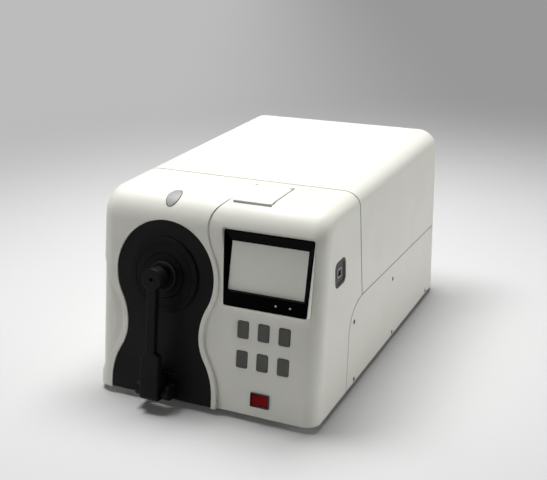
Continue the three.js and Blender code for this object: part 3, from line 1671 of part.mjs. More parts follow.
function sidePortFrame() {
  const flangeSize = sidePortSize + 2 * sidePortFlange;
  return cut(
    join(
      prism(plateOutline(0, 0, sidePortSize, sidePortSize, sidePortCorner), -sidePortBack, 0),
      prism(
        plateOutline(0, 0, flangeSize, flangeSize, sidePortCorner + sidePortFlange),
        sideFlangeFront - sidePortFlangeThickness,
        sideFlangeFront,
      ),
    ),
    prism(
      plateOutline(0, 0, sidePortDishSize, sidePortDishSize, sidePortCorner / 2),
      -sidePortDishDepth,
      overrun,
    ),
    prism(
      plateOutline(0, 0, socketWidth + 2 * fit, socketHeight + 2 * fit, socketWall),
      -overrun,
      overrun,
    ),
  );
}
mesh('side_port_frame', sidePortFrame(), socketGrey, sideGroup);
mesh('side_socket', dataSocket(), steel, sideGroup).position.set(0, 0, -sidePortDishDepth);

// Stand the whole on the bench, with the origin at the centre of its footprint
const extent = new THREE.Box3().setFromObject(colorimeter, true);
const middle = extent.getCenter(new THREE.Vector3());
colorimeter.position.set(-middle.x, -middle.y, -extent.min.z);

export default colorimeter;
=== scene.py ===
"""Benchtop colorimeter in its studio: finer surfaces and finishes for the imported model.

Lengths are millimetres in the case's own frame until a piece is finished: x runs across, y
back from the foot of the leaning front, z up from the bench. A finished piece is moved to the
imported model's frame and its metres in one step.
"""

import logging
import math
from dataclasses import dataclass, field
from enum import Enum
from typing import Iterable, Optional, Sequence, Union

import bmesh
import bpy
import numpy as np
from mathutils import Matrix, Vector


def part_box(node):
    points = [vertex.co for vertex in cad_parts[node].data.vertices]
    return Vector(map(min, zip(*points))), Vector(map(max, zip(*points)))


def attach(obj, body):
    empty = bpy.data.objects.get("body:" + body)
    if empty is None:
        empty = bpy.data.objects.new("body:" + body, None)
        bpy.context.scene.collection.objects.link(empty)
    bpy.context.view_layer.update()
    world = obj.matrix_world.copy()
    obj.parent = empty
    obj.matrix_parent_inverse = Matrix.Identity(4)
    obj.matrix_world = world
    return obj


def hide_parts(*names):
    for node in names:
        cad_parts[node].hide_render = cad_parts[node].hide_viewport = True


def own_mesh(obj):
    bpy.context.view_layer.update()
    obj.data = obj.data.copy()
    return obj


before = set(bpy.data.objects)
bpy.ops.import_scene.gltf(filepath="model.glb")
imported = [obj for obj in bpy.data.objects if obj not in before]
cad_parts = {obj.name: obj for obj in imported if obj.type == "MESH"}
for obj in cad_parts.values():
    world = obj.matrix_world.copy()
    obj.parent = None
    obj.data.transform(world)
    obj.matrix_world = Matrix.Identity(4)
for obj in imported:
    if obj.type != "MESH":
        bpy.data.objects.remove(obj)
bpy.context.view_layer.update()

Array = np.ndarray
Steps = tuple[tuple[float, float], ...]
Tree = bpy.types.NodeTree
Socket = bpy.types.NodeSocket
LOG = logging.getLogger("colorimeter")
DEGREE = math.pi / 180
QUARTER = math.pi / 2
MM = 0.001
FIT = 0.3
SLIDE_FIT = 0.4
OVERRUN = 30.0
WELD = 2e-4


def arc(x: float, y: float, radius: float, start: float, end: float, steps: int) -> Array:
    """Points of a circle, (x + r cos a, y + r sin a), for a from start to end.

    Args:
        x: Centre across.
        y: Centre up.
        radius: Radius r.
        start: First angle in radians.
        end: Last angle in radians.
        steps: Number of chords.

    Returns:
        An array of steps + 1 rows of two.
    """
    a = np.linspace(start, end, steps + 1)
    return np.column_stack((x + radius * np.cos(a), y + radius * np.sin(a)))


def outline(*runs: Union[Array, Sequence]) -> Array:
    """A closed outline from runs of points, with doubled points left out.

    Args:
        runs: Arrays of points, or single points.

    Returns:
        The outline's points, one row each.
    """
    points = np.vstack([np.atleast_2d(np.asarray(run, float)) for run in runs])
    gaps = np.linalg.norm(points - np.roll(points, 1, axis=0), axis=1)
    return points[gaps > 1e-4]


def filleted(corners: Array, radii: Union[float, Sequence[float]], steps: int = 5) -> Array:
    """Rounds each corner of a closed outline with an arc that touches both of its sides.

    With u and v the unit ways to the neighbours and h half the angle between them, the arc's
    centre is p + (u + v) / |u + v| * r / sin h, and it touches the sides at r / tan h from p.

    Args:
        corners: The outline's corners.
        radii: One radius for all corners, or one each; 0 keeps a corner sharp.
        steps: Chords in each arc.

    Returns:
        The rounded outline.
    """
    p = np.asarray(corners, float)
    u = np.roll(p, 1, axis=0) - p
    v = np.roll(p, -1, axis=0) - p
    u /= np.linalg.norm(u, axis=1, keepdims=True)
    v /= np.linalg.norm(v, axis=1, keepdims=True)
    r = np.broadcast_to(np.asarray(radii, float), len(p))[:, None]
    half = 0.5 * np.arccos(np.clip((u * v).sum(axis=1, keepdims=True), -1, 1))
    middle = (u + v) / np.maximum(np.linalg.norm(u + v, axis=1, keepdims=True), 1e-9)
    centre = p + middle * r / np.sin(half)
    first = p + u * r / np.tan(half) - centre
    last = p + v * r / np.tan(half) - centre
    begin = np.arctan2(first[:, 1], first[:, 0])
    turn = np.arctan2(last[:, 1], last[:, 0]) - begin
    turn = (turn + math.pi) % (2 * math.pi) - math.pi
    a = begin[:, None] + turn[:, None] * np.linspace(0, 1, steps + 1)
    ring = np.stack((np.cos(a), np.sin(a)), axis=-1)
    return outline((centre[:, None, :] + r[:, :, None] * ring).reshape(-1, 2))


def rounded_rect(
    width: float, height: float, corner: float, x: float = 0.0, y: float = 0.0, steps: int = 8
) -> Array:
    """A rectangle about (x, y) with rounded corners, counted from the lower right corner.

    Args:
        width: Size across.
        height: Size up.
        corner: Corner radius.
        x: Centre across.
        y: Centre up.
        steps: Chords in each corner.

    Returns:
        Four times steps + 1 points.
    """
    a, b = width / 2 - corner, height / 2 - corner
    quarters = [(a, -b, -1), (a, b, 0), (-a, b, 1), (-a, -b, 2)]
    return np.vstack(
        [arc(x + cx, y + cy, corner, k * QUARTER, (k + 1) * QUARTER, steps) for cx, cy, k in quarters]
    )


def grown(shape: Array, distance: float) -> Array:
    """Moves each point of an outline outwards: p + d (m + n) / (1 + m . n), m and n the sides' normals.

    Args:
        shape: A closed outline, counted anticlockwise.
        distance: How far out; a negative distance draws it in.

    Returns:
        An outline with as many points.
    """
    sides = np.roll(shape, -1, axis=0) - shape
    normals = np.column_stack((sides[:, 1], -sides[:, 0]))
    normals /= np.linalg.norm(normals, axis=1, keepdims=True)
    before = np.roll(normals, 1, axis=0)
    share = 1 + (before * normals).sum(axis=1, keepdims=True)
    return shape + distance * (before + normals) / np.maximum(share, 0.3)


@dataclass(frozen=True)
class Place:
    """A frame in the case, as the 4 x 4 matrix that carries its points there."""

    matrix: Array = field(default_factory=lambda: np.eye(4))

    def then(self, turn: Array, move: Sequence[float] = (0.0, 0.0, 0.0)) -> "Place":
        """The frame after a further turn and move in its own axes."""
        step = np.eye(4)
        step[:3, :3] = turn
        step[:3, 3] = move
        return Place(self.matrix @ step)

    def shifted(self, x: float, y: float, z: float) -> "Place":
        """The frame moved along its own axes."""
        return self.then(np.eye(3), (x, y, z))

    def tipped(self, angle: float) -> "Place":
        """The frame turned about its own x."""
        c, s = math.cos(angle), math.sin(angle)
        return self.then(np.array([[1, 0, 0], [0, c, -s], [0, s, c]]))

    def swung(self, angle: float) -> "Place":
        """The frame turned about its own y."""
        c, s = math.cos(angle), math.sin(angle)
        return self.then(np.array([[c, 0, s], [0, 1, 0], [-s, 0, c]]))

    def carry(self, points: Array) -> Array:
        """The points in the case's frame."""
        return points @ self.matrix[:3, :3].T + self.matrix[:3, 3]


HERE = Place()
ACROSS = Place().then(np.array([[0, 0, 1], [1, 0, 0], [0, 1, 0]], float))


@dataclass(frozen=True)
class Surface:
    """A closed surface: points in rows of three, faces as lists of point numbers."""

    points: Array
    faces: list[list[int]]

    def placed(self, place: Place) -> "Surface":
        """The surface carried to a place in the case."""
        return Surface(place.carry(self.points), self.faces)

    def moved(self, x: float, y: float, z: float) -> "Surface":
        """The surface moved without a turn."""
        return Surface(self.points + np.array([x, y, z]), self.faces)

    def beside(self, *others: "Surface") -> "Surface":
        """This surface and others that don't touch it, as one.

        Args:
            others: The other surfaces, in order.

        Returns:
            All of them as one surface.
        """
        points, faces = [self.points], list(self.faces)
        count = len(self.points)
        for other in others:
            faces += [[count + i for i in face] for face in other.faces]
            points.append(other.points)
            count += len(other.points)
        return Surface(np.vstack(points), faces)


def loft(rings: Array, end_to_end: bool = False) -> Surface:
    """Skins rings of equal count, P(i, j), with quads between ring i and ring i + 1.

    Args:
        rings: An array of rings, of points, of three.
        end_to_end: True joins the last ring to the first; otherwise both ends get a flat face.

    Returns:
        The closed surface.
    """
    count, size, _ = rings.shape
    index = np.arange(count * size).reshape(count, size)
    low, high = (index, np.roll(index, -1, axis=0)) if end_to_end else (index[:-1], index[1:])
    quads = np.stack((low, np.roll(low, -1, axis=1), np.roll(high, -1, axis=1), high), axis=-1)
    faces = quads.reshape(-1, 4).tolist()
    if not end_to_end:
        faces += [index[0, ::-1].tolist(), index[-1].tolist()]
    return Surface(rings.reshape(-1, 3), faces)


def stacked(rings: Iterable[tuple[Array, float]]) -> Array:
    """Flat outlines set at their heights, as rings for loft()."""
    return np.stack([np.column_stack((ring, np.full(len(ring), height))) for ring, height in rings])


def carried(shape: Array, profile: Sequence[Sequence[float]], end_to_end: bool = False) -> Surface:
    """Carries an outline up z through a profile of (growth, height) pairs.

    Ring i is the outline grown by g_i, at height h_i.

    Args:
        shape: A closed outline, counted anticlockwise.
        profile: Pairs of growth and height.
        end_to_end: True closes the profile into a loop, for a frame with a hole.

    Returns:
        The closed surface.
    """
    return loft(stacked((grown(shape, growth), height) for growth, height in profile), end_to_end)


def rounded_ends(
    low: float, high: float, round_low: float = 0.0, round_high: float = 0.0, steps: int = 4
) -> Array:
    """A profile for carried(): straight sides with quarter-round edges at either end.

    At the lower end it is (-r (1 - sin a), low + r (1 - cos a)), for a from 0 to a quarter
    turn, and the upper end is its mirror image.

    Args:
        low: Lowest height.
        high: Highest height.
        round_low: Radius of the lower edge; 0 keeps it sharp.
        round_high: Radius of the upper edge.
        steps: Chords in each edge.

    Returns:
        Pairs of growth and height.
    """
    a = np.linspace(0, QUARTER, steps + 1)
    lower = np.column_stack((-round_low * (1 - np.sin(a)), low + round_low * (1 - np.cos(a))))
    upper = np.column_stack((-round_high * (1 - np.cos(a)), high - round_high * (1 - np.sin(a))))
    parts = [lower if round_low else lower[-1:], upper if round_high else upper[:1]]
    return np.vstack(parts)


def prism(shape: Array, low: float, high: float, round_low: float = 0, round_high: float = 0) -> Surface:
    """An outline carried straight up z, with rounded ends if they are given."""
    return carried(shape, rounded_ends(low, high, round_low, round_high))


def block(low: Sequence[float], high: Sequence[float]) -> Surface:
    """A box between two corners, for cutting and filling."""
    (x0, y0, z0), (x1, y1, z1) = low, high
    return prism(np.array([[x0, y0], [x1, y0], [x1, y1], [x0, y1]], float), z0, z1)


def turned(profile: Sequence[Sequence[float]], steps: int = 96, end_to_end: bool = False) -> Surface:
    """Turns (radius, height) pairs about z: (r cos a, r sin a, h).

    Args:
        profile: Pairs of radius and height; ends on the axis close to a pole.
        steps: Chords in a full turn.
        end_to_end: True closes the profile into a loop, for a ring.

    Returns:
        The closed surface.
    """
    r, h = np.asarray(profile, float).T
    a = np.linspace(0, 2 * math.pi, steps, endpoint=False)
    rings = np.stack((np.outer(r, np.cos(a)), np.outer(r, np.sin(a)), np.outer(h, np.ones(steps))), axis=-1)
    return loft(rings, end_to_end)


def edged(radius: float, height: float, steps: Steps) -> list[tuple[float, float]]:
    """An edge of a turned piece, as steps in from its radius and down from its height."""
    return [(radius - inwards, height - down) for inwards, down in steps]


def rod(radius: float, low: float, high: float, steps: int = 48) -> Surface:
    """A round rod along z, for bores and pins."""
    return turned([(radius, low), (radius, high)], steps)


def closing(steps: int) -> Array:
    """Shares that fall evenly from 1 and end just short of 0, for rings that close on a middle."""
    return np.append(np.linspace(1, 0, steps + 1)[1:-1], 0.02)


def domed(ring: Array, rise: float, steps: int = 5) -> Array:
    """Rings from a flat ring to its middle c: c + s (p - c), raised by rise (1 - s^2).

    Args:
        ring: The points round the edge, in rows of three.
        rise: Height of the middle over the edge; negative for a dish.
        steps: Number of rings.

    Returns:
        An array of rings, the last one almost a point.
    """
    centre = ring.mean(axis=0)
    s = closing(steps)
    rings = centre + s[:, None, None] * (ring - centre)
    rings[:, :, 2] += rise * (1 - s[:, None] ** 2)
    return rings


def wire(path: Array, radius: float, sides: int = 10) -> Surface:
    """A round wire along a path about z.

    P(i, j) = c_i + r (cos a_j n_i + sin a_j t_i x n_i), with t the path's direction and n the
    way out from the z axis made square to it.

    Args:
        path: The wire's middle line.
        radius: Radius of the wire.
        sides: Points round it.

    Returns:
        The closed surface.
    """
    t = np.gradient(path, axis=0)
    t /= np.linalg.norm(t, axis=1, keepdims=True)
    n = path * np.array([1, 1, 0])
    n -= (n * t).sum(axis=1, keepdims=True) * t
    n /= np.linalg.norm(n, axis=1, keepdims=True)
    b = np.cross(t, n)
    a = np.linspace(0, 2 * math.pi, sides, endpoint=False)
    rings = path[:, None] + radius * (np.cos(a)[:, None] * n[:, None] + np.sin(a)[:, None] * b[:, None])
    return loft(rings)


def coil(radius: float, rise: float, turns: float, thickness: float) -> Surface:
    """A spring about z: (R cos a, R sin a, rise a / (2 pi turns)), a from 0 to its turns."""
    a = np.linspace(0, 2 * math.pi * turns, int(28 * turns) + 1)
    path = np.column_stack((radius * np.cos(a), radius * np.sin(a), rise * a / a[-1]))
    return wire(path, thickness / 2)


def shown(name: str, data: Optional[bpy.types.ID]) -> bpy.types.Object:
    """A new object in the scene that holds a mesh, a lamp or a camera."""
    thing = bpy.data.objects.new(name, data)
    bpy.context.scene.collection.objects.link(thing)
    return thing


def welded(mesh: bpy.types.Mesh, distance: float, outwards: bool = True) -> bpy.types.Mesh:
    """Merges points of a mesh that lie closer than a distance, and turns its faces outwards.

    Args:
        mesh: The mesh, changed in place.
        distance: The distance, in the mesh's unit.
        outwards: False leaves the faces' direction alone, for an open sheet.

    Returns:
        The mesh.
    """
    work = bmesh.new()
    work.from_mesh(mesh)
    bmesh.ops.remove_doubles(work, verts=work.verts[:], dist=distance)
    if outwards:
        bmesh.ops.recalc_face_normals(work, faces=work.faces[:])
    work.to_mesh(mesh)
    work.free()
    return mesh


class Operation(Enum):
    """How one solid meets another."""

    JOIN = "UNION"
    CUT = "DIFFERENCE"
    COMMON = "INTERSECT"


class Solid:
    """A closed mesh in millimetres that others can be joined to or cut from."""

    def __init__(self, surface: Surface) -> None:
        """Welds the surface's doubled points and turns its faces outwards."""
        mesh = bpy.data.meshes.new("solid")
        mesh.from_pydata(surface.points.tolist(), [], surface.faces)
        self.mesh = welded(mesh, WELD)

    def placed(self, place: Place) -> "Solid":
        """This solid carried to a place in the case."""
        self.mesh.transform(Matrix(place.matrix.tolist()))
        return self

    def _combined(self, operation: Operation, others: Iterable["Solid | Surface"]) -> "Solid":
        """Runs one Boolean modifier for each other solid and keeps what comes out.

        Args:
            operation: Join, cut or common part.
            others: The solids or surfaces to combine with, in order.

        Returns:
            This solid, changed.
        """
        base = shown("base", self.mesh)
        tools = []
        for other in others:
            solid = other if isinstance(other, Solid) else Solid(other)
            tool = shown("tool", solid.mesh)
            tool.hide_render = True
            modifier = base.modifiers.new("combine", "BOOLEAN")
            modifier.operation = operation.value
            modifier.solver = "MANIFOLD"
            modifier.object = tool
            tools.append(tool)
        evaluated = base.evaluated_get(bpy.context.evaluated_depsgraph_get())
        self.mesh = bpy.data.meshes.new_from_object(evaluated)
        if not self.mesh.polygons:
            raise ValueError(f"nothing is left after {operation.name}")
        for used in [base, *tools]:
            bpy.data.objects.remove(used)
        return self

    def join(self, *others: "Solid | Surface") -> "Solid":
        """Adds the others to this solid."""
        return self._combined(Operation.JOIN, others)

    def cut(self, *others: "Solid | Surface") -> "Solid":
        """Takes the others out of this solid."""
        return self._combined(Operation.CUT, others)

    def common(self, *others: "Solid | Surface") -> "Solid":
        """Keeps only what lies in every other as well."""
        return self._combined(Operation.COMMON, others)


def linear(colour: str, alpha: float = 1.0) -> tuple[float, float, float, float]:
    """Turns an sRGB hex colour to linear: c / 12.92 up to 0.04045, else ((c + 0.055) / 1.055)^2.4.

    Args:
        colour: Six hex digits.
        alpha: Fourth value.

    Returns:
        Linear red, green and blue, and alpha.
    """
    c = np.array([int(colour[i : i + 2], 16) for i in (0, 2, 4)]) / 255
    value = np.where(c <= 0.04045, c / 12.92, ((c + 0.055) / 1.055) ** 2.4)
    return (*value.tolist(), alpha)


def bare_tree(owner: Union[bpy.types.Material, bpy.types.World]) -> Tree:
    """Switches a material or a world to nodes and gives its tree, emptied."""
    owner.use_nodes = True
    owner.node_tree.nodes.clear()
    return owner.node_tree


def add_node(tree: Tree, kind: str, inputs: Optional[dict] = None, **settings: object) -> bpy.types.Node:
    """Adds a node with its settings, values and links.

    Args:
        tree: The material's tree.
        kind: The node's type.
        inputs: Socket name or number to a value, or to an output socket to link.
        settings: Properties of the node.

    Returns:
        The new node.
    """
    made = tree.nodes.new(kind)
    for key, value in settings.items():
        setattr(made, key, value)
    for key, value in (inputs or {}).items():
        if isinstance(value, Socket):
            tree.links.new(value, made.inputs[key])
        else:
            made.inputs[key].default_value = value
    return made


class Pattern(Enum):
    """What breaks up a finish."""

    GRAIN = "fine even grain of a mould or a coat"
    TURNED = "rings left by a lathe"
    BRUSHED = "straight scratches along x"
    TRACES = "copper tracks under a coat"
    NONE = "no pattern at all"


@dataclass(frozen=True)
class Finish:
    """A finish, its colours as sRGB hex and its sizes in millimetres."""

    name: str
    slot: str
    colour: str
    shade: str
    roughness: float
    ior: float = 1.5
    metallic: float = 0.0
    pattern: Pattern = Pattern.GRAIN
    grain_mm: float = 0.8
    depth_mm: float = 0.02
    cloud_mm: float = 60.0
    roughness_spread: float = 0.06
    edge_mm: float = 0.0
    coat: float = 0.0
    coat_roughness: float = 0.05
    sheen: float = 0.0
    transmission: float = 0.0
    specular: float = 0.5
    subsurface_mm: float = 0.0

    def material(self) -> bpy.types.Material:
        """The finish as a node material, made once.

        Returns:
            The material.
        """
        known = bpy.data.materials.get(self.name)
        if known:
            return known
        made = bpy.data.materials.new(self.name)
        tree = bare_tree(made)
        place = add_node(tree, "ShaderNodeTexCoord").outputs["Object"]
        cloud = add_node(
            tree,
            "ShaderNodeTexNoise",
            {"Vector": place, "Scale": 1 / (MM * self.cloud_mm), "Detail": 3.0},
        ).outputs["Fac"]
        height = self.height(tree, place)
        tint = add_node(
            tree,
            "ShaderNodeMix",
            {"Factor": self.mask(tree, cloud, height), 6: linear(self.colour), 7: linear(self.shade)},
            data_type="RGBA",
        ).outputs[2]
        gloss = add_node(
            tree,
            "ShaderNodeMapRange",
            {
                "Value": cloud,
                "From Min": 0.3,
                "From Max": 0.7,
                "To Min": max(self.roughness - self.roughness_spread, 0.0),
                "To Max": min(self.roughness + self.roughness_spread, 1.0),
            },
        ).outputs["Result"]
        bump_inputs = {"Height": height, "Strength": 1.0, "Distance": MM * self.depth_mm}
        if self.edge_mm:
            bump_inputs["Normal"] = add_node(
                tree, "ShaderNodeBevel", {"Radius": MM * self.edge_mm}, samples=4
            ).outputs["Normal"]
        shader = add_node(
            tree,
            "ShaderNodeBsdfPrincipled",
            {
                "Base Color": tint,
                "Roughness": gloss,
                "Metallic": self.metallic,
                "IOR": self.ior,
                "Coat Weight": self.coat,
                "Coat Roughness": self.coat_roughness,
                "Sheen Weight": self.sheen,
                "Transmission Weight": self.transmission,
                "Specular IOR Level": self.specular,
                "Normal": add_node(tree, "ShaderNodeBump", bump_inputs).outputs["Normal"],
            },
        )
        if self.subsurface_mm:
            shader.inputs["Subsurface Weight"].default_value = 0.3
            shader.inputs["Subsurface Scale"].default_value = MM * self.subsurface_mm
        add_node(tree, "ShaderNodeOutputMaterial", {"Surface": shader.outputs["BSDF"]})
        return made

    def height(self, tree: Tree, place: Socket) -> Socket:
        """The relief of the pattern, from 0 to 1.

        Args:
            tree: The material's tree.
            place: Object coordinates in metres.

        Returns:
            The socket with the height.
        """
        scale = 1 / (MM * self.grain_mm)
        if self.pattern in (Pattern.TURNED, Pattern.BRUSHED):
            stretch = (0.04, 1.0, 1.0) if self.pattern is Pattern.BRUSHED else (0.12, 0.12, 1.0)
            stretched = add_node(tree, "ShaderNodeMapping", {"Vector": place, "Scale": stretch})
            place = stretched.outputs["Vector"]
        if self.pattern is Pattern.TRACES:
            return add_node(
                tree,
                "ShaderNodeTexBrick",
                {
                    "Vector": place,
                    "Scale": 1.0,
                    "Color1": (0, 0, 0, 1),
                    "Color2": (0.1, 0.1, 0.1, 1),
                    "Mortar": (1, 1, 1, 1),
                    "Mortar Size": MM * self.grain_mm * 0.2,
                    "Brick Width": MM * self.grain_mm * 7,
                    "Row Height": MM * self.grain_mm,
                },
            ).outputs["Color"]
        return add_node(
            tree, "ShaderNodeTexNoise", {"Vector": place, "Scale": scale, "Detail": 2.0, "Roughness": 0.6}
        ).outputs["Fac"]

    def mask(self, tree: Tree, cloud: Socket, height: Socket) -> Socket:
        """Where the second colour shows: the broad clouds, or the relief itself on a board.

        Args:
            tree: The material's tree.
            cloud: Broad noise.
            height: The pattern's relief.

        Returns:
            The socket with the share of the second colour.
        """
        source = height if self.pattern is Pattern.TRACES else cloud
        return add_node(
            tree,
            "ShaderNodeMapRange",
            {"Value": source, "From Min": 0.35, "From Max": 0.65, "To Min": 0.0, "To Max": 1.0},
        ).outputs["Result"]


# Spark-eroded mould, ABS: a satin white with a grain that shows only close up, drawn coarser
# than its real 0.1 mm, and edges rounded as they leave the mould
SHELL = Finish("moulded ABS, warm white", "shell_white", "E9E8E0", "E6E5DC", 0.46, ior=1.53, edge_mm=0.7)
# Moulded ABS with a deeper matt texture, so that highlights stay broad and dim
PANEL = Finish(
    "moulded ABS, matt black", "black_plastic", "0D0D0C", "0A0A0A", 0.62, ior=1.53, depth_mm=0.05,
    specular=0.18,
)
# The same plastic turned to size: rings catch a little more light than the panel
RINGS = Finish(
    "turned acetal, black", "black_plastic", "090909", "070707", 0.55, ior=1.48, pattern=Pattern.TURNED,
    grain_mm=0.9, depth_mm=0.03, edge_mm=0.3, specular=0.15,
)
# Moulded arm with worn, slightly polished edges
ARM = Finish(
    "moulded nylon, black", "black_plastic", "0A0A0A", "080808", 0.55, ior=1.53, edge_mm=0.4, specular=0.15
)
# Cast acrylic painted from behind: a hard gloss over deep black
BEZEL = Finish(
    "cast acrylic, black", "bezel_black", "010101", "020202", 0.25, ior=1.49, grain_mm=6.0, depth_mm=0.004,
    roughness_spread=0.03, specular=0.06,
)
# Liquid crystal cell switched off: grey film under smooth glass
CELL = Finish(
    "liquid crystal cell, grey", "screen_grey", "EFEFE6", "E9E9DF", 0.35, ior=1.52, grain_mm=0.35,
    depth_mm=0.003, cloud_mm=90.0, roughness_spread=0.02, coat=0.2,
)
# Moulded silicone: soft, slightly dusty
KEYS = Finish(
    "moulded silicone, dark grey", "key_grey", "5A5A55", "53534F", 0.62, ior=1.41, sheen=0.15, edge_mm=0.3
)
# Moulded polycarbonate, polished mould: bright red with a sharp highlight
ROCKER = Finish(
    "polished polycarbonate, red", "rocker_red", "960105", "840104", 0.3, ior=1.58, depth_mm=0.004,
    specular=0.06, edge_mm=0.3,
)
# Frosted polycarbonate over a lamp: cool light grey
BUTTON = Finish(
    "frosted polycarbonate, grey", "button_grey", "A6A6A4", "9F9F9D", 0.4, ior=1.58, edge_mm=0.3
)
# Moulded ABS, mid grey, matt
SOCKET = Finish("moulded ABS, dark grey", "socket_grey", "504E4C", "494745", 0.6, ior=1.53, edge_mm=0.4)
# Turned stainless steel: tight rings, clear reflections
STEEL = Finish(
    "turned stainless steel", "steel", "B9BABB", "ACADAF", 0.3, metallic=1.0, pattern=Pattern.TURNED,
    grain_mm=0.3, depth_mm=0.01,
)
# Steel with a black oxide finish: dark, with a soft metallic sheen
BLACKED = Finish(
    "black-oxide steel", "steel", "2A2A2B", "222223", 0.45, metallic=1.0, pattern=Pattern.TURNED,
    grain_mm=0.3, depth_mm=0.01,
)
# Brushed aluminium sheet and machined blocks: straight scratches, soft reflections
SHEET = Finish(
    "brushed aluminium", "aluminium", "C6C8CA", "BABCBF", 0.42, metallic=1.0, pattern=Pattern.BRUSHED,
    grain_mm=0.4, depth_mm=0.012,
)
# Barium sulphate paint: the flattest white there is, slightly chalky
CHALK = Finish(
    "barium sulphate paint, white", "sphere_white", "F4F4F0", "EEEEEA", 0.95, ior=1.64, grain_mm=0.5,
    depth_mm=0.06,
)
# Glass-fibre board under green lacquer, copper tracks raised under it
BOARD = Finish(
    "lacquered glass-fibre board, green", "board_green", "1C5236", "2C7A4E", 0.38, ior=1.55,
    pattern=Pattern.TRACES, grain_mm=2.4, depth_mm=0.06, coat=0.3,
)
# Vulcanised rubber: matt and nearly black
RUBBER = Finish(
    "vulcanised rubber, black", "rubber_black", "171717", "1D1D1C", 0.85, ior=1.52, depth_mm=0.05, sheen=0.1
)
# Ground and polished glass
GLASS = Finish(
    "polished glass, clear", "clear_glass", "E6EEF0", "E2EAEC", 0.05, ior=1.52, grain_mm=8.0,
    depth_mm=0.001, roughness_spread=0.02, transmission=0.6,
)
# Frosted glass bulb on a ceramic base
BULB = Finish("frosted glass, white", "lamp_white", "F2F2F2", "E9E9E7", 0.4, ior=1.5, subsurface_mm=2.0)
# Small clear polycarbonate domes over unlit lamps: bright only in their highlight
LAMP_DOME = Finish(
    "clear polycarbonate dome", "clear_glass", "C9CCC8", "BFC3BF", 0.12, ior=1.58, grain_mm=4.0,
    depth_mm=0.001, coat=0.5,
)
# Glass-filled nylon: the switch's frame, a little glossier than the panel
SWITCH_FRAME = Finish(
    "glass-filled nylon, black", "black_plastic", "222120", "1C1B1A", 0.42, ior=1.53, edge_mm=0.3
)


@dataclass
class Workshop:
    """Turns surfaces and solids into finished pieces of the model."""

    shift: Vector
    made: dict[str, bpy.types.Object] = field(default_factory=dict)

    @classmethod
    def on_packed_model(cls, depth: float, half_width: float) -> "Workshop":
        """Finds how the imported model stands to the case's own frame.

        Args:
            depth: The case's depth, where the base pan ends at the back.
            half_width: Half the case's width.

        Returns:
            The workshop.
        """
        low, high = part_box("base_pan")
        return cls(Vector((low.x / MM + half_width, high.y / MM - depth, 0.0)))

    def piece(
        self,
        name: str,
        shape: Union[Surface, Solid],
        finish: Finish,
        body: str,
        *nodes: str,
        crease: float = 32.0,
    ) -> bpy.types.Object:
        """Finishes a shape as a piece that rides on a body.

        Args:
            name: The piece's name.
            shape: Its surface or solid.
            finish: What it is made of.
            body: The body it moves with.
            nodes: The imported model's nodes that it stands for.
            crease: Edges that turn by more degrees than this stay sharp.

        Returns:
            The piece.
        """
        solid = shape if isinstance(shape, Solid) else Solid(shape)
        mesh = solid.mesh
        mesh.transform(Matrix.Scale(MM, 4) @ Matrix.Translation(self.shift))
        mesh.shade_smooth()
        mesh.set_sharp_from_angle(angle=crease * DEGREE)
        thing = shown(name, mesh)
        weighted = thing.modifiers.new("even shading", "WEIGHTED_NORMAL")
        weighted.keep_sharp = True
        weighted.weight = 80
        mesh.materials.clear()
        mesh.materials.append(finish.material())
        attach(thing, body)
        if nodes:
            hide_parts(*nodes)
        self.made[name] = thing
        LOG.info("%s: %d faces, %s", name, len(mesh.polygons), finish.name)
        return thing

    def dress(self, finish: Finish, *nodes: str) -> None:
        """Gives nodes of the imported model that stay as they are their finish.

        Args:
            finish: What they are made of.
            nodes: Their names.
        """
        for name in nodes:
            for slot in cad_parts[name].material_slots:
                slot.material = finish.material()
            LOG.info("%s: kept, %s", name, finish.name)


@dataclass(frozen=True)
class Edge:
    """The rolled edge at one end of the case."""

    radius: float
    roll: float
    roll_across: float


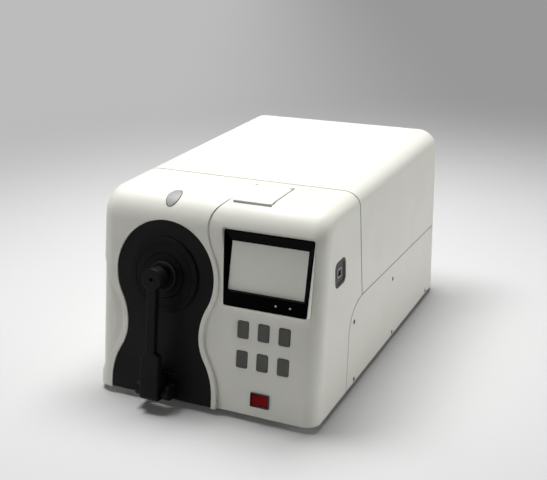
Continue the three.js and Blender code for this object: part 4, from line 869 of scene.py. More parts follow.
@dataclass(frozen=True)
class CaseForm:
    """Sizes and outlines of the case, its raised frame and its seams."""

    width: float = 300.0
    depth: float = 472.0
    height: float = 246.0
    feet: float = 8.0
    wall: float = 3.0
    lean: float = 9.8 * DEGREE
    front: Edge = Edge(40.0, 16.0, 19.0)
    rear: Edge = Edge(27.0, 24.0, 27.0)
    profile_steps: int = 28
    roll_steps: int = 14
    flank_steps: int = 14
    port_x: float = -56.4
    port_height: float = 155.0
    port_lean: float = 10.6 * DEGREE
    port_proud: float = 4.7
    head: float = 67.1
    waist: float = 49.7
    waist_height: float = 87.0
    waist_lower: float = 60.0
    skirt: float = 70.6
    skirt_height: float = 12.0
    rim: float = 6.9
    neck: float = 56.3
    neck_height: float = 226.0
    neck_upper: float = 30.0
    seam_top: float = 140.0
    elbow: tuple[float, float] = (150.0, 118.0)
    sweep_across: float = 45.0
    sweep_drop: float = 42.0
    seam_foot: float = 96.0
    rear_drop: float = 9.5
    seam_gap: float = 1.1
    hood_gap: float = 2.0
    tongue: float = 6.0

    @property
    def top(self) -> float:
        """Height of the top over the bench."""
        return self.feet + self.height

    @property
    def far(self) -> float:
        """A width clear of the case, for cutting across it."""
        return self.width / 2 + OVERRUN

    @property
    def face(self) -> Place:
        """The leaning front: x across, y up the slope, z out of it."""
        return HERE.shifted(0, 0, self.feet).tipped(QUARTER - self.lean)

    @property
    def port(self) -> Place:
        """The raised plane round the port."""
        return HERE.shifted(self.port_x, -self.port_proud, self.feet).tipped(QUARTER - self.port_lean)

    @property
    def axis(self) -> Place:
        """The measuring axis, z out of the port."""
        return self.port.shifted(0, self.port_height, 0)

    def crest(self, proud: float, lean: float) -> tuple[float, float]:
        """Centre of the rounded top edge, as depth and height."""
        radius = self.front.radius
        rise = self.height - radius
        return rise * math.tan(lean) - proud + radius / math.cos(lean), self.top - radius

    def hull(self, inset: float, floor: float, proud: float = 0.0, lean: Optional[float] = None) -> Surface:
        """The case as rings of side profiles carried across the width.

        At turn a, from a quarter at a side to 0 where the roll ends, an edge of roll r, width w
        and radius R stands at x = X - w + (w - i) sin a, and its arc has radius
        R - r + (r - i) cos a, with i the inset.

        Args:
            inset: How far inside the outer skin.
            floor: Height of the underside.
            proud: How far the front stands forward.
            lean: The front's lean.

        Returns:
            The closed surface.
        """
        lean = self.lean if lean is None else lean
        turns = np.linspace(QUARTER, 0, self.roll_steps + 1)
        side = np.concatenate((-np.ones_like(turns), np.ones_like(turns)))
        turns = np.concatenate((turns, turns[::-1]))
        front_y, front_z = self.crest(proud, lean)
        ends = [
            (self.front, front_y, front_z, -1, lean, (floor - self.feet) * math.tan(lean) - proud),
            (self.rear, self.depth - self.rear.radius, self.top - self.rear.radius, 1, 0.0, self.depth),
        ]
        halves = []
        for edge, y, z, way, first, plane in ends:
            x = side * (self.width / 2 - edge.roll_across + (edge.roll_across - inset) * np.sin(turns))
            out = (edge.roll - inset) * np.cos(turns)
            rise = np.linspace(first, QUARTER, self.profile_steps + 1)
            reach = (edge.radius - edge.roll + out)[:, None]
            depth, height = y + way * reach * np.cos(rise), z + reach * np.sin(rise)
            bow = np.stack((x[:, None] + 0 * rise, depth, height), axis=-1)
            foot_y = plane - way * (edge.roll - out) / math.cos(first)
            foot = np.stack((x, foot_y, np.full_like(x, floor)), axis=-1)[:, None]
            halves.append(np.concatenate((foot, bow), axis=1))
        return loft(np.concatenate((halves[0], halves[1][:, ::-1]), axis=1))

    def skin(self) -> Solid:
        """The case's outer shape as a solid."""
        return Solid(self.hull(0, self.feet))

    @staticmethod
    def touching(half: float, rise: float, radius: float) -> float:
        """Radius of the arc through (half, 0), upright there, that touches a circle at that rise."""
        return (half**2 + rise**2 - radius**2) / (2 * (radius - half))

    def flank(self, grow: float) -> Array:
        """The right side of the keyhole: skirt, waist and the arc up to the head.

        Args:
            grow: How far outside the keyhole.

        Returns:
            Points from the foot up, the same number in each of three arcs.
        """
        steps = self.flank_steps
        upper = self.touching(self.waist, self.port_height - self.waist_height, self.head)
        hang = self.waist + self.waist_lower - self.skirt
        rise = self.waist_height - self.skirt_height
        skirt = (hang**2 + rise**2 - self.waist_lower**2) / (2 * (self.waist_lower - hang))
        lower_x = self.waist + self.waist_lower
        turn = math.atan2(rise, lower_x - (self.skirt - skirt))
        head_end = math.pi + self.head_turn()
        return np.vstack(
            (
                arc(self.skirt - skirt, self.skirt_height, skirt + grow, 0, turn, steps),
                arc(lower_x, self.waist_height, self.waist_lower - grow, math.pi + turn, math.pi, steps),
                arc(self.waist + upper, self.waist_height, upper - grow, math.pi, head_end, steps),
            )
        )

    def head_turn(self) -> float:
        """Angle at which the waist's arc meets the head's circle."""
        upper = self.touching(self.waist, self.port_height - self.waist_height, self.head)
        return math.atan2(self.waist_height - self.port_height, self.waist + upper)

    def keyhole(self, grow: float, foot: float) -> Array:
        """The keyhole outline of the port panel, in the raised plane.

        Args:
            grow: How far outside the panel's edge.
            foot: Height of its straight foot.

        Returns:
            The closed outline.
        """
        side = self.flank(grow)
        left = side[::-1] * np.array([-1, 1])
        turn = self.head_turn()
        head = arc(0, self.port_height, self.head + grow, turn, math.pi - turn, 72)
        half = self.skirt + grow
        return outline([(-half, foot), (half, foot)], side, head, left)

    def raised(self) -> Array:
        """The outline of the raised frame, open to the left side above and below the waist.

        Returns:
            The closed outline in the raised plane.
        """
        radius = self.head + self.rim
        neck = self.touching(self.neck, self.neck_height - self.port_height, radius)
        turn = math.atan2(self.neck_height - self.port_height, self.neck + neck)
        bend_x = self.neck + self.neck_upper
        bend = arc(bend_x, self.neck_height, self.neck_upper, math.pi, math.pi - QUARTER / 2, 10)
        side = self.flank(self.rim)
        waist_points = 2 * (self.flank_steps + 1)
        left = (side[::-1] * np.array([-1, 1]))[:waist_points]
        crest = bend[-1]
        top = crest[1] + OVERRUN
        below, above = left[-1], left[0]
        skirt_end = side[self.flank_steps]
        steep = math.atan2(skirt_end[1] - self.waist_height, skirt_end[0] - self.waist - self.waist_lower)
        skirt_turn = math.pi + steep
        head_turn = self.head_turn()
        return outline(
            (self.skirt + self.rim, -OVERRUN),
            side,
            arc(0, self.port_height, radius, head_turn, turn, 40),
            arc(self.neck + neck, self.neck_height, neck, math.pi + turn, math.pi, 12),
            bend,
            (crest[0] + OVERRUN, top),
            (above[0] + (top - above[1]) * math.tan(head_turn), top),
            left,
            (below[0] - (below[1] + OVERRUN) * math.tan(skirt_turn), -OVERRUN),
        )

    def sweep(self, back: float, up: float) -> Array:
        """The quarter ellipse of the side seam, from the elbow forward and down."""
        a = np.linspace(QUARTER, math.pi, 25)
        y, z = self.elbow
        depth, height = y + back + self.sweep_across * np.cos(a), z + up - self.sweep_drop * (1 - np.sin(a))
        return np.column_stack((depth, height))

    def rear_seam(self, depth: float) -> float:
        """Height of the side seam at a depth behind the elbow."""
        y, z = self.elbow
        return z - self.rear_drop * (depth - y) / (self.depth - y)

    def slab(self, shape: Array) -> Surface:
        """An outline in depth and height, carried across the whole case."""
        return prism(shape, -self.far, self.far).placed(ACROSS)

    def front_part(self, back: float) -> Surface:
        """The room of the front cover, its seam moved back.

        Args:
            back: How far the seam moves back.

        Returns:
            The room as a prism across the case.
        """
        far, foot = self.top + OVERRUN, self.seam_foot + back
        return self.slab(
            outline(
                [(-OVERRUN, far), (-OVERRUN, -OVERRUN), (foot, -OVERRUN), (foot, self.feet)],
                self.sweep(back, 0)[::-1],
                [(self.seam_top + back, self.top), (self.seam_top + back, far)],
            )
        )

    def rear_part(self, back: float, drop: float) -> Surface:
        """The room of the rear cover, its seams moved back and down.

        Args:
            back: How far the seam on top moves back.
            drop: How far the side seam moves down.

        Returns:
            The room as a prism across the case.
        """
        y, z = self.elbow
        far_back, far, seam = self.depth + OVERRUN, self.top + OVERRUN, self.seam_top + back
        return self.slab(
            outline(
                [(seam, far), (seam, self.top), (y + back, z), (y + back, z - drop)],
                [(far_back, self.rear_seam(far_back) - drop), (far_back, far)],
            )
        )

    def base_part(self, gap: float) -> Surface:
        """The room of the base pan, below and behind the seams.

        Args:
            gap: How far the pan stays clear of the seams.

        Returns:
            The room as a prism across the case.
        """
        foot, far_back = self.seam_foot + gap, self.depth + OVERRUN
        return self.slab(
            outline(
                self.sweep(gap, -gap),
                [(foot, self.feet), (foot, -OVERRUN)],
                [(far_back, -OVERRUN), (far_back, self.rear_seam(far_back) - gap)],
            )
        )


FORM = CaseForm()


@dataclass(frozen=True)
class CaseShell:
    """The three white mouldings of the case, with tongues behind their seams, and the side screws.

    Screws and feet are given by two sizes each: depth and height over the case's foot, and x and
    depth. The window in the back is half a width, a low height and a high one.
    """

    form: CaseForm = FORM
    tongue_share: float = 0.65
    # The dark strip in the seams is painted shade: how deep under the skin it lies, and how far below the
    # top it stops
    shade_strip_sink: float = 0.35
    shade_strip_top: float = 5.0
    hollow: float = 2.3
    hollow_width: float = 16.0
    hollow_under: float = 1.5
    frame_edge: float = 1.3
    port_edge: float = 0.7
    pocket: float = 3.1
    bore: float = 46.0
    foot_bore: float = 4.3
    recess: tuple[float, float] = (3.1, 1.2)
    screw_dome: Steps = ((2.8, -1.1), (2.8, -0.75), (2.6, -0.5), (2.2, -0.34), (1.75, -0.26))
    cross_arm: float = 1.5
    cross_half: float = 0.38
    cross_top: float = -0.24
    cross_floor: float = -0.9
    cross_draft_share: float = 0.94
    screws: Steps = ((124, 84), (269, 84), (124, 4), (269, 4), (422, 4))
    window: tuple[float, float, float] = (100.0, 24.0, 92.0)
    feet_at: Steps = ((-112, 48), (112, 48), (-112, 424), (112, 424))

    @property
    def below(self) -> float:
        """A height under the case, for cutting."""
        return self.form.feet - OVERRUN

    def inner(self) -> Surface:
        """The inside of the walls, open below."""
        return self.form.hull(self.form.wall, self.below)

    def tongues(self) -> Solid:
        """The inner part of the walls, from which the seams' tongues are taken."""
        inset = self.form.wall * self.tongue_share + FIT
        return Solid(self.form.hull(inset, self.below)).common(self.form.skin()).cut(self.inner())

    def tongue_room(self) -> Surface:
        """The room that a neighbour's tongue takes from a wall."""
        return self.form.hull(self.form.wall * self.tongue_share, self.below)

    def raised_frame(self) -> Solid:
        """The frame that stands proud round the port, its edge rounded where it is flat."""
        form = self.form
        edge = rounded_ends(-2 * OVERRUN, 0.0, 0.0, self.frame_edge, 5)
        cushion = carried(form.raised(), [*edge.tolist(), [-self.frame_edge, OVERRUN]])
        body = Solid(form.hull(0, form.feet, form.port_proud, form.port_lean))
        return body.common(Solid(cushion.placed(form.port)))

    def left_hollow(self) -> Solid:
        """The hollow in the face along the left edge of the raised frame.

        At a distance s from the frame, as a share of its width, it is d (1 + cos(pi s)) / 2 deep.

        Returns:
            The shape to cut out of the cover.
        """
        form = self.form
        s = np.linspace(0, 1, 9)
        depth = (self.hollow + FIT) * (1 + np.cos(math.pi * s)) / 2
        floor = np.column_stack((self.hollow_width * s, FIT - depth))
        under = -self.hollow_under
        far = [[self.hollow_width, OVERRUN], [under, OVERRUN], [under, -self.hollow]]
        groove = carried(form.raised(), floor.tolist() + far, end_to_end=True)
        left = block((-form.far, -form.far, self.below), (form.port_x, form.far, form.top + OVERRUN))
        return Solid(groove.placed(form.face.shifted(form.port_x, 0, 0))).common(left)

    def shade_strip(self) -> Solid:
        """The dark strip that lies on the tongues just under the seams and closes them to light: painted
        shade, standing in for the shadow in the seams.

        Returns:
            The strip as a solid.
        """
        form = self.form
        depth, far = form.wall * self.tongue_share, form.far
        sides = block((-far, -far, form.feet), (far, 2 * far + form.depth, form.top - self.shade_strip_top))
        strip = Solid(form.hull(self.shade_strip_sink, self.below)).common(sides)
        strip.cut(form.hull(depth + FIT / 2, self.below))
        shells = form.front_part(0), form.rear_part(form.hood_gap, 0), form.base_part(form.seam_gap)
        return strip.cut(*shells)

    def front(self, openings: Sequence[Surface]) -> Solid:
        """The front cover, with every opening cut through it.

        Args:
            openings: The shapes to cut out.

        Returns:
            The cover.
        """
        form = self.form
        cover = form.skin().cut(self.left_hollow()).join(self.raised_frame()).cut(self.inner())
        cover.common(form.front_part(0))
        cover.join(self.tongues().common(form.front_part(form.tongue)))
        lip, radius = np.linspace(0, QUARTER, 4), self.port_edge
        edge = np.column_stack((FIT + radius * (1 - np.cos(lip)), -radius + radius * np.sin(lip)))
        profile = [[FIT, -self.pocket], *edge.tolist(), [FIT + radius, OVERRUN]]
        keyhole = carried(form.keyhole(0, -OVERRUN), profile).placed(form.port)
        return cover.cut(keyhole, rod(self.bore, -OVERRUN, OVERRUN, 96).placed(form.axis), *openings)

    def hood(self) -> Solid:
        """The rear cover."""
        form = self.form
        clear = form.front_part(form.tongue + FIT)
        shell = form.skin().cut(self.inner()).common(form.rear_part(form.hood_gap, 0))
        shell.cut(Solid(self.tongue_room()).common(clear))
        return shell.join(self.tongues().common(form.rear_part(form.hood_gap, form.tongue)).cut(clear))

    def pan(self) -> Solid:
        """The base pan: side walls, floor, back, and the recesses of its screws.

        Returns:
            The pan as a solid.
        """
        form = self.form
        floor = form.feet + form.wall
        pan = form.skin().cut(form.hull(form.wall, floor)).common(form.base_part(form.seam_gap))
        pan.cut(Solid(self.tongue_room()).common(form.front_part(form.tongue + FIT)))
        pan.cut(Solid(self.tongue_room()).common(form.rear_part(form.hood_gap, form.tongue + FIT)))
        plate = Solid(form.hull(form.wall + FIT, form.feet)).common(
            block((-form.far, -OVERRUN, form.feet), (form.far, form.depth + OVERRUN, floor))
        )
        pan.join(plate)
        side, low, high = self.window
        cutters = [block((-side, form.depth - 2 * form.wall, low), (side, form.depth + OVERRUN, high))]
        for x, y in self.feet_at:
            cutters.append(rod(self.foot_bore, self.below, floor + FIT).moved(x, y, 0))
        radius, depth = self.recess
        recess = rod(radius, -depth, depth, 40).placed(ACROSS)
        for way in (-1, 1):
            cutters += [recess.moved(way * form.width / 2, y, form.feet + z) for y, z in self.screws]
        return pan.cut(*cutters)

    def screw_heads(self) -> Surface:
        """Cross-recessed heads of the side screws, one in each recess.

        The cross is the star r(a) = min(L / max(|cos a|, |sin a|), w / min(|cos a|, |sin a|)).

        Returns:
            All heads as one surface.
        """
        a = np.linspace(0, 2 * math.pi, 64, endpoint=False)
        c, s = np.abs(np.cos(a)), np.abs(np.sin(a))
        arm, half = self.cross_arm, self.cross_half
        cross = np.minimum(arm / np.maximum(c, s), half / np.maximum(np.minimum(c, s), 1e-6))
        slot = [(cross, self.cross_top), (self.cross_draft_share * cross, self.cross_floor)]
        way = np.column_stack((np.cos(a), np.sin(a)))
        head = loft(stacked((way * np.reshape(r, (-1, 1)), h) for r, h in [*self.screw_dome, *slot]))
        heads = []
        for side in (-1, 1):
            place = ACROSS if side > 0 else ACROSS.swung(math.pi)
            for y, z in self.screws:
                heads.append(head.placed(place).moved(side * self.form.width / 2, y, self.form.feet + z))
        return heads[0].beside(*heads[1:])

    def build(self, shop: Workshop, openings: Sequence[Surface]) -> None:
        """Makes the three mouldings, the dark strip of painted shade in their seams, and their screws.

        Args:
            shop: Where pieces are finished.
            openings: What is cut through the front cover.
        """
        shop.piece("front_shell", self.front(openings), SHELL, "case", "front_cover")
        shop.piece("rear_shell", self.hood(), SHELL, "case", "rear_cover")
        shop.piece("lower_shell", self.pan(), SHELL, "case", "base_pan")
        # A dark rubber-finished strip under the seams: painted shade, so the seams read as dark lines
        shop.piece("seam_shade_strip", self.shade_strip(), RUBBER, "case")
        shop.piece("side_screws", self.screw_heads(), BLACKED, "case")


@dataclass(frozen=True)
class Feet:
    """Four rubber feet with a spigot each."""

    radius: float = 15.0
    sole: float = 13.0
    height: float = 8.0
    spigot: float = 4.0
    spigot_length: float = 5.0
    dish: Steps = ((0, 2.4), (4.0, 2.4), (5.2, 1.9), (6.0, 0.5), (6.6, 0))
    sole_edge: Steps = ((1.2, 0), (0.4, -0.3), (0, -1.1))
    rim_edge: Steps = ((0.3, 0.8), (0.1, 0.2), (0.5, 0))
    spigot_edge: Steps = ((0, 0.6), (0.6, 0))
    names: tuple[str, ...] = ("front_left", "front_right", "rear_left", "rear_right")

    def foot(self) -> Surface:
        """One foot, turned, with a rounded sole and a dished middle."""
        top = self.height - FIT
        tip = top + self.spigot_length
        side = [*edged(self.sole, 0, self.sole_edge), *edged(self.radius, top, self.rim_edge)]
        spigot = [(self.spigot, top), *edged(self.spigot, tip, self.spigot_edge), (0, tip)]
        return turned([*self.dish, *side, *spigot], 72)

    def build(self, shop: Workshop, places: Sequence[tuple[float, float]]) -> None:
        """Makes the feet where the pan is bored for them."""
        for name, (x, y) in zip(self.names, places):
            shop.piece(f"rubber_foot_{name}", self.foot().moved(x, y, 0), RUBBER, "case", f"foot_{name}")


@dataclass(frozen=True)
class MeasuringPort:
    """Keyhole panel, stepped flange, aperture mask and the arm's hinge bracket."""

    form: CaseForm = FORM
    sink: float = 0.8
    thickness: float = 2.0
    flange: float = 46.4
    flange_body: float = 43.6
    bore: float = 22.0
    proud: float = 2.0
    back: float = 5.6
    mask: float = 26.9
    mask_front: float = 3.3
    aperture: float = 12.7
    aperture_back: float = 16.0
    groove: tuple[float, float] = (37.8, 39.2)
    groove_depth: float = 0.35
    seat_height: float = 0.2
    pivot: tuple[float, float] = (13.0, 14.0)
    base: tuple[float, float, float] = (46.4, 31.0, 18.5)
    ear: float = 8.5
    ear_x: float = 18.2
    ear_half: float = 5.0
    ear_edge: float = 0.8
    ear_foot: float = 0.5
    base_sink: float = 0.5
    base_top: float = 1.5
    base_corner: float = 1.5
    base_edge: float = 0.4
    pin_radius: float = 3.0
    pin_half: float = 23.8
    panel_foot: float = 0.6
    panel_edge: float = 0.5
    flange_edge: Steps = ((0, 1.0), (0.12, 0.6), (0.4, 0.22), (0.9, 0))
    seat_edge: Steps = ((-0.5, 0), (0, 0.5))
    mask_edge: Steps = ((0, 0.9), (0.12, 0.5), (0.4, 0.2), (0.9, 0))
    aperture_edge: Steps = ((-0.5, 0), (-0.15, 0.12), (0, 0.45))
    pin_edge: Steps = ((0, 0.5), (0.5, 0))

    def panel(self) -> Solid:
        """The keyhole plate, its front edge rounded."""
        shape = self.form.keyhole(0, self.panel_foot)
        plate = prism(shape, -self.sink - self.thickness, -self.sink, 0, self.panel_edge)
        hole = rod(self.flange_body + SLIDE_FIT, -OVERRUN, OVERRUN, 128).moved(0, self.form.port_height, 0)
        return Solid(plate.placed(self.form.port)).cut(hole.placed(self.form.port))

    def stepped_ring(self) -> Surface:
        """The flange: a broad ring with rounded shoulders and a groove round the mask's seat.

        Returns:
            The flange as a closed surface.
        """
        front, outer, inner, seat = self.proud, self.flange, self.flange_body, self.mask + FIT
        under, floor, step = FIT - self.sink, self.proud - self.groove_depth, self.seat_height
        inside, outside = self.groove
        body = [(self.bore, -self.back), (inner, -self.back), (inner, under), (outer, under)]
        edge = edged(outer, front, self.flange_edge)
        groove = [(outside, front), (outside - FIT, floor), (inside + FIT, floor), (inside, front)]
        lip = edged(seat, front, self.seat_edge)
        return turned([*body, *edge, *groove, *lip, (seat, step), (self.bore, step)], 160, end_to_end=True)

    def mask_ring(self) -> Surface:
        """The aperture mask: a dished face that leads to the measuring aperture."""
        front, outer, hole, back = self.mask_front, self.mask, self.aperture, self.seat_height + FIT
        face = [*edged(outer, front, self.mask_edge), *edged(hole, front, self.aperture_edge)]
        return turned([(self.aperture_back, back), (outer, back), *face], 128, end_to_end=True)

    def bracket(self) -> Solid:
        """The bracket with two rounded ears, bored for the pin.

        Returns:
            The bracket as a solid.
        """
        v, w = self.pivot
        width, height, middle = self.base
        shape = rounded_rect(width, height, self.base_corner, 0, middle)
        bracket = Solid(prism(shape, -self.base_sink, self.base_top, 0, self.base_edge))
        foot = [(v - self.ear, self.ear_foot), (v + self.ear, self.ear_foot)]
        ear = outline(foot, arc(v, w, self.ear, 0, math.pi, 28))
        ear = prism(ear, -self.ear_half, self.ear_half, self.ear_edge, self.ear_edge).placed(ACROSS)
        for x in (-self.ear_x, self.ear_x):
            bracket.join(ear.moved(x, 0, 0))
        bore = rod(self.pin_radius + FIT, -2 * OVERRUN, 2 * OVERRUN)
        return bracket.cut(bore.placed(ACROSS).moved(0, v, w)).placed(self.form.port)

    def pin(self) -> Surface:
        """The hinge pin with chamfered ends."""
        v, w = self.pivot
        r, half = self.pin_radius, self.pin_half
        half_profile = [*edged(r, half, self.pin_edge), (0, half)]
        pin = turned([*[(x, -z) for x, z in half_profile[::-1]], *half_profile], 48)
        return pin.placed(ACROSS).moved(0, v, w).placed(self.form.port)

    def build(self, shop: Workshop) -> None:
        """Makes the port's pieces."""
        shop.piece("keyhole_panel", self.panel(), PANEL, "case", "port_panel")
        axis = self.form.axis
        shop.piece("stepped_flange", self.stepped_ring().placed(axis), RINGS, "case", "port_flange")
        shop.piece("aperture_ring", self.mask_ring().placed(axis), RINGS, "case", "aperture_mask")
        shop.piece("arm_bracket", self.bracket(), ARM, "case", "hinge_bracket")
        shop.piece("arm_pin", self.pin(), BLACKED, "case", "hinge_pin")


@dataclass(frozen=True)
class SampleArm:
    """The arm that presses a sample on the port: foot, bar, head, sprung pad.

    A room is a radius and a depth or half length. The arm's coil is a radius, a length and turns,
    and the pad's a radius and its two ends on the measuring axis.
    """

    form: CaseForm = FORM
    pivot: tuple[float, float] = (13.0, 14.0)
    pin_bore: float = 3.3
    front: float = 28.9
    foot: float = 4.0
    foot_top: float = 61.0
    foot_half: float = 12.5
    foot_back: float = 7.0
    back: float = 20.0
    slope: tuple[float, float] = (26.0, 42.0)
    back_rounds: tuple[float, ...] = (4, 6, 6, 0, 0, 6)
    foot_edge: float = 1.6
    shoulder: float = 11.0
    shoulder_rounds: tuple[float, ...] = (0, 0, 2.5, 1.2, 1.2, 2.5)
    shoulder_edges: tuple[float, float] = (1.0, 1.4)
    bar_edge: float = 1.2
    bar_half: float = 6.1
    bar_top_rise: float = 3.5
    bar_foot: float = 30.0
    head: float = 13.5
    head_back: float = 13.0
    head_front: float = 30.3
    spring_room: tuple[float, float] = (9.0, 8.0)
    plunger_room: tuple[float, float] = (3.3, 7.5)
    head_back_edge: Steps = ((0.8, 0), (0, -0.8))
    head_edge: Steps = ((0, 1.8), (0.16, 1.1), (0.55, 0.5), (1.1, 0.15), (1.8, 0))
    centre_hole: float = 2.0
    hole_edge: Steps = ((0, 0.5), (-0.6, -0.1))
    pad_radius: float = 18.0
    pad_face: float = 3.6
    pad_back: float = 6.0
    plate_radius: float = 17.0
    plate_back: float = 8.5
    plunger: float = 3.0
    plunger_end: float = 22.5
    pad_edge: Steps = ((1.2, 0), (0.5, -0.15), (0.1, -0.5), (0, -1.0))
    pad_back_edge: Steps = ((0, 0.4), (0.3, 0))
    plate_edge: Steps = ((0.4, 0), (0, -0.4))
    plate_back_edge: Steps = ((0, 0.4), (0.4, 0))
    plunger_root: Steps = ((-0.6, 0), (0, -0.6))
    plunger_edge: Steps = ((0, 0.5), (0.4, 0))
    coil_room: tuple[float, float] = (7.2, 4.6)
    wire: float = 1.2
    arm_coil: tuple[float, float, float] = (4.1, 6.8, 4.0)
    pad_coil: tuple[float, float, float] = (6.4, 9.4, 20.1)
    pad_turns: float = 3.0
    pad_travel: float = 4.0

    def side_view(self, foot: float, top: float) -> Array:
        """The arm seen from the side, as height up the panel and distance out of it.

        Args:
            foot: Height where this part starts.
            top: Height where it ends.

        Returns:
            The closed outline.
        """
        start, end = self.slope
        back = [(foot, self.foot_back), (start, self.foot_back), (end, self.back), (top, self.back)]
        return filleted(np.array([*back, (top, self.front), (foot, self.front)]), self.back_rounds, 8)

    def shoulder_view(self) -> Array:
        """The arm seen from the front where its broad foot narrows to the bar."""
        wide, narrow, top = self.foot_half, self.bar_half, self.foot_top
        right = [(wide, top - self.shoulder), (wide, top), (narrow, top + self.bar_top_rise)]
        left = [(-x, y) for x, y in right[::-1]]
        corners = np.array([left[-1], *right, *left[:-1]])
        return filleted(corners, self.shoulder_rounds, 5)

    def arm(self) -> Solid:
        """Foot, bar and head joined, with the bores for pin, spring and plunger.

        Returns:
            The arm as a solid.
        """
        port_height = self.form.port_height
        v, w = self.pivot
        foot = self.side_view(self.foot, self.foot_top)
        bar = self.side_view(self.bar_foot, port_height)
        foot = prism(foot, -self.foot_half, self.foot_half, self.foot_edge, self.foot_edge)
        bar = prism(bar, -self.bar_half, self.bar_half, self.bar_edge, self.bar_edge)
        shoulder = prism(self.shoulder_view(), self.back, self.front, *self.shoulder_edges)
        arm = Solid(foot.placed(ACROSS)).join(shoulder, bar.placed(ACROSS))
        back, front = self.head_back, self.head_front
        side = [*edged(self.head, back, self.head_back_edge), *edged(self.head, front, self.head_edge)]
        head = turned([(0, back), *side, (0, front)], 96)
        arm.join(head.moved(0, port_height, 0))
        (room, room_depth), (bore, bore_depth) = self.spring_room, self.plunger_room
        floor, hole, clear = back + room_depth, self.centre_hole, 2 * OVERRUN
        flare = edged(hole, front, self.hole_edge)
        flared = [(0, 0), (hole, 0), *flare, (flare[-1][0], clear), (0, clear)]
        arm.cut(
            rod(room, 0, floor, 64).moved(0, port_height, 0),
            rod(bore, 0, floor + bore_depth, 48).moved(0, port_height, 0),
            turned(flared, 48).moved(0, port_height, 0),
            rod(self.pin_bore, -clear, clear).placed(ACROSS).moved(0, v, w),
            rod(self.coil_room[0], -self.coil_room[1], self.coil_room[1], 64).placed(ACROSS).moved(0, v, w),
        )
        return arm.placed(self.form.port)

    def pad(self) -> Surface:
        """The rubber pad, its face rounded at the rim."""
        r, near, far = self.pad_radius, self.pad_face, self.pad_back
        side = [*edged(r, near, self.pad_edge), *edged(r, far, self.pad_back_edge)]
        return turned([(0, near), *side, (0, far)], 96).placed(self.form.axis)

    def holder(self) -> Surface:
        """The plate behind the pad and its plunger."""
        r, near, far = self.plate_radius, self.pad_back + FIT, self.plate_back
        rod_r, end = self.plunger, self.plunger_end
        plate = [*edged(r, near, self.plate_edge), *edged(r, far, self.plate_back_edge)]
        plunger = [*edged(rod_r, far, self.plunger_root), *edged(rod_r, end, self.plunger_edge)]
        return turned([(0, near), *plate, *plunger, (0, end)], 96).placed(self.form.axis)

    def pad_spring(self, shop: Workshop) -> None:
        """The spring behind the pad.

        Args:
            shop: Where the spring is finished.
        """
        radius, low, high = self.pad_coil
        shape = coil(radius, high - low, self.pad_turns, self.wire).moved(0, 0, low)
        spring = shop.piece("pad_coil", shape.placed(self.form.axis), STEEL, "arm", "pad_spring")
        foot, seat = self.form.axis.carry(np.array([[0, 0, low], [0, 0, high + self.wire / 2]]))
        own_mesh(spring)

    def build(self, shop: Workshop) -> None:
        """Makes the arm and what it carries.

        Args:
            shop: Where the pieces are finished.
        """
        v, w = self.pivot
        shop.piece("arm_body", self.arm(), ARM, "arm", "sample_arm")
        shop.piece("pad_face", self.pad(), RUBBER, "pad", "sample_pad")
        shop.piece("pad_plunger", self.holder(), ARM, "pad", "pad_holder")
        self.pad_spring(shop)
        radius, length, turns = self.arm_coil
        spring = coil(radius, length, turns, self.wire).moved(0, 0, -length / 2).placed(ACROSS)
        shop.piece("arm_coil", spring.moved(0, v, w).placed(self.form.port), STEEL, "case", "arm_spring")


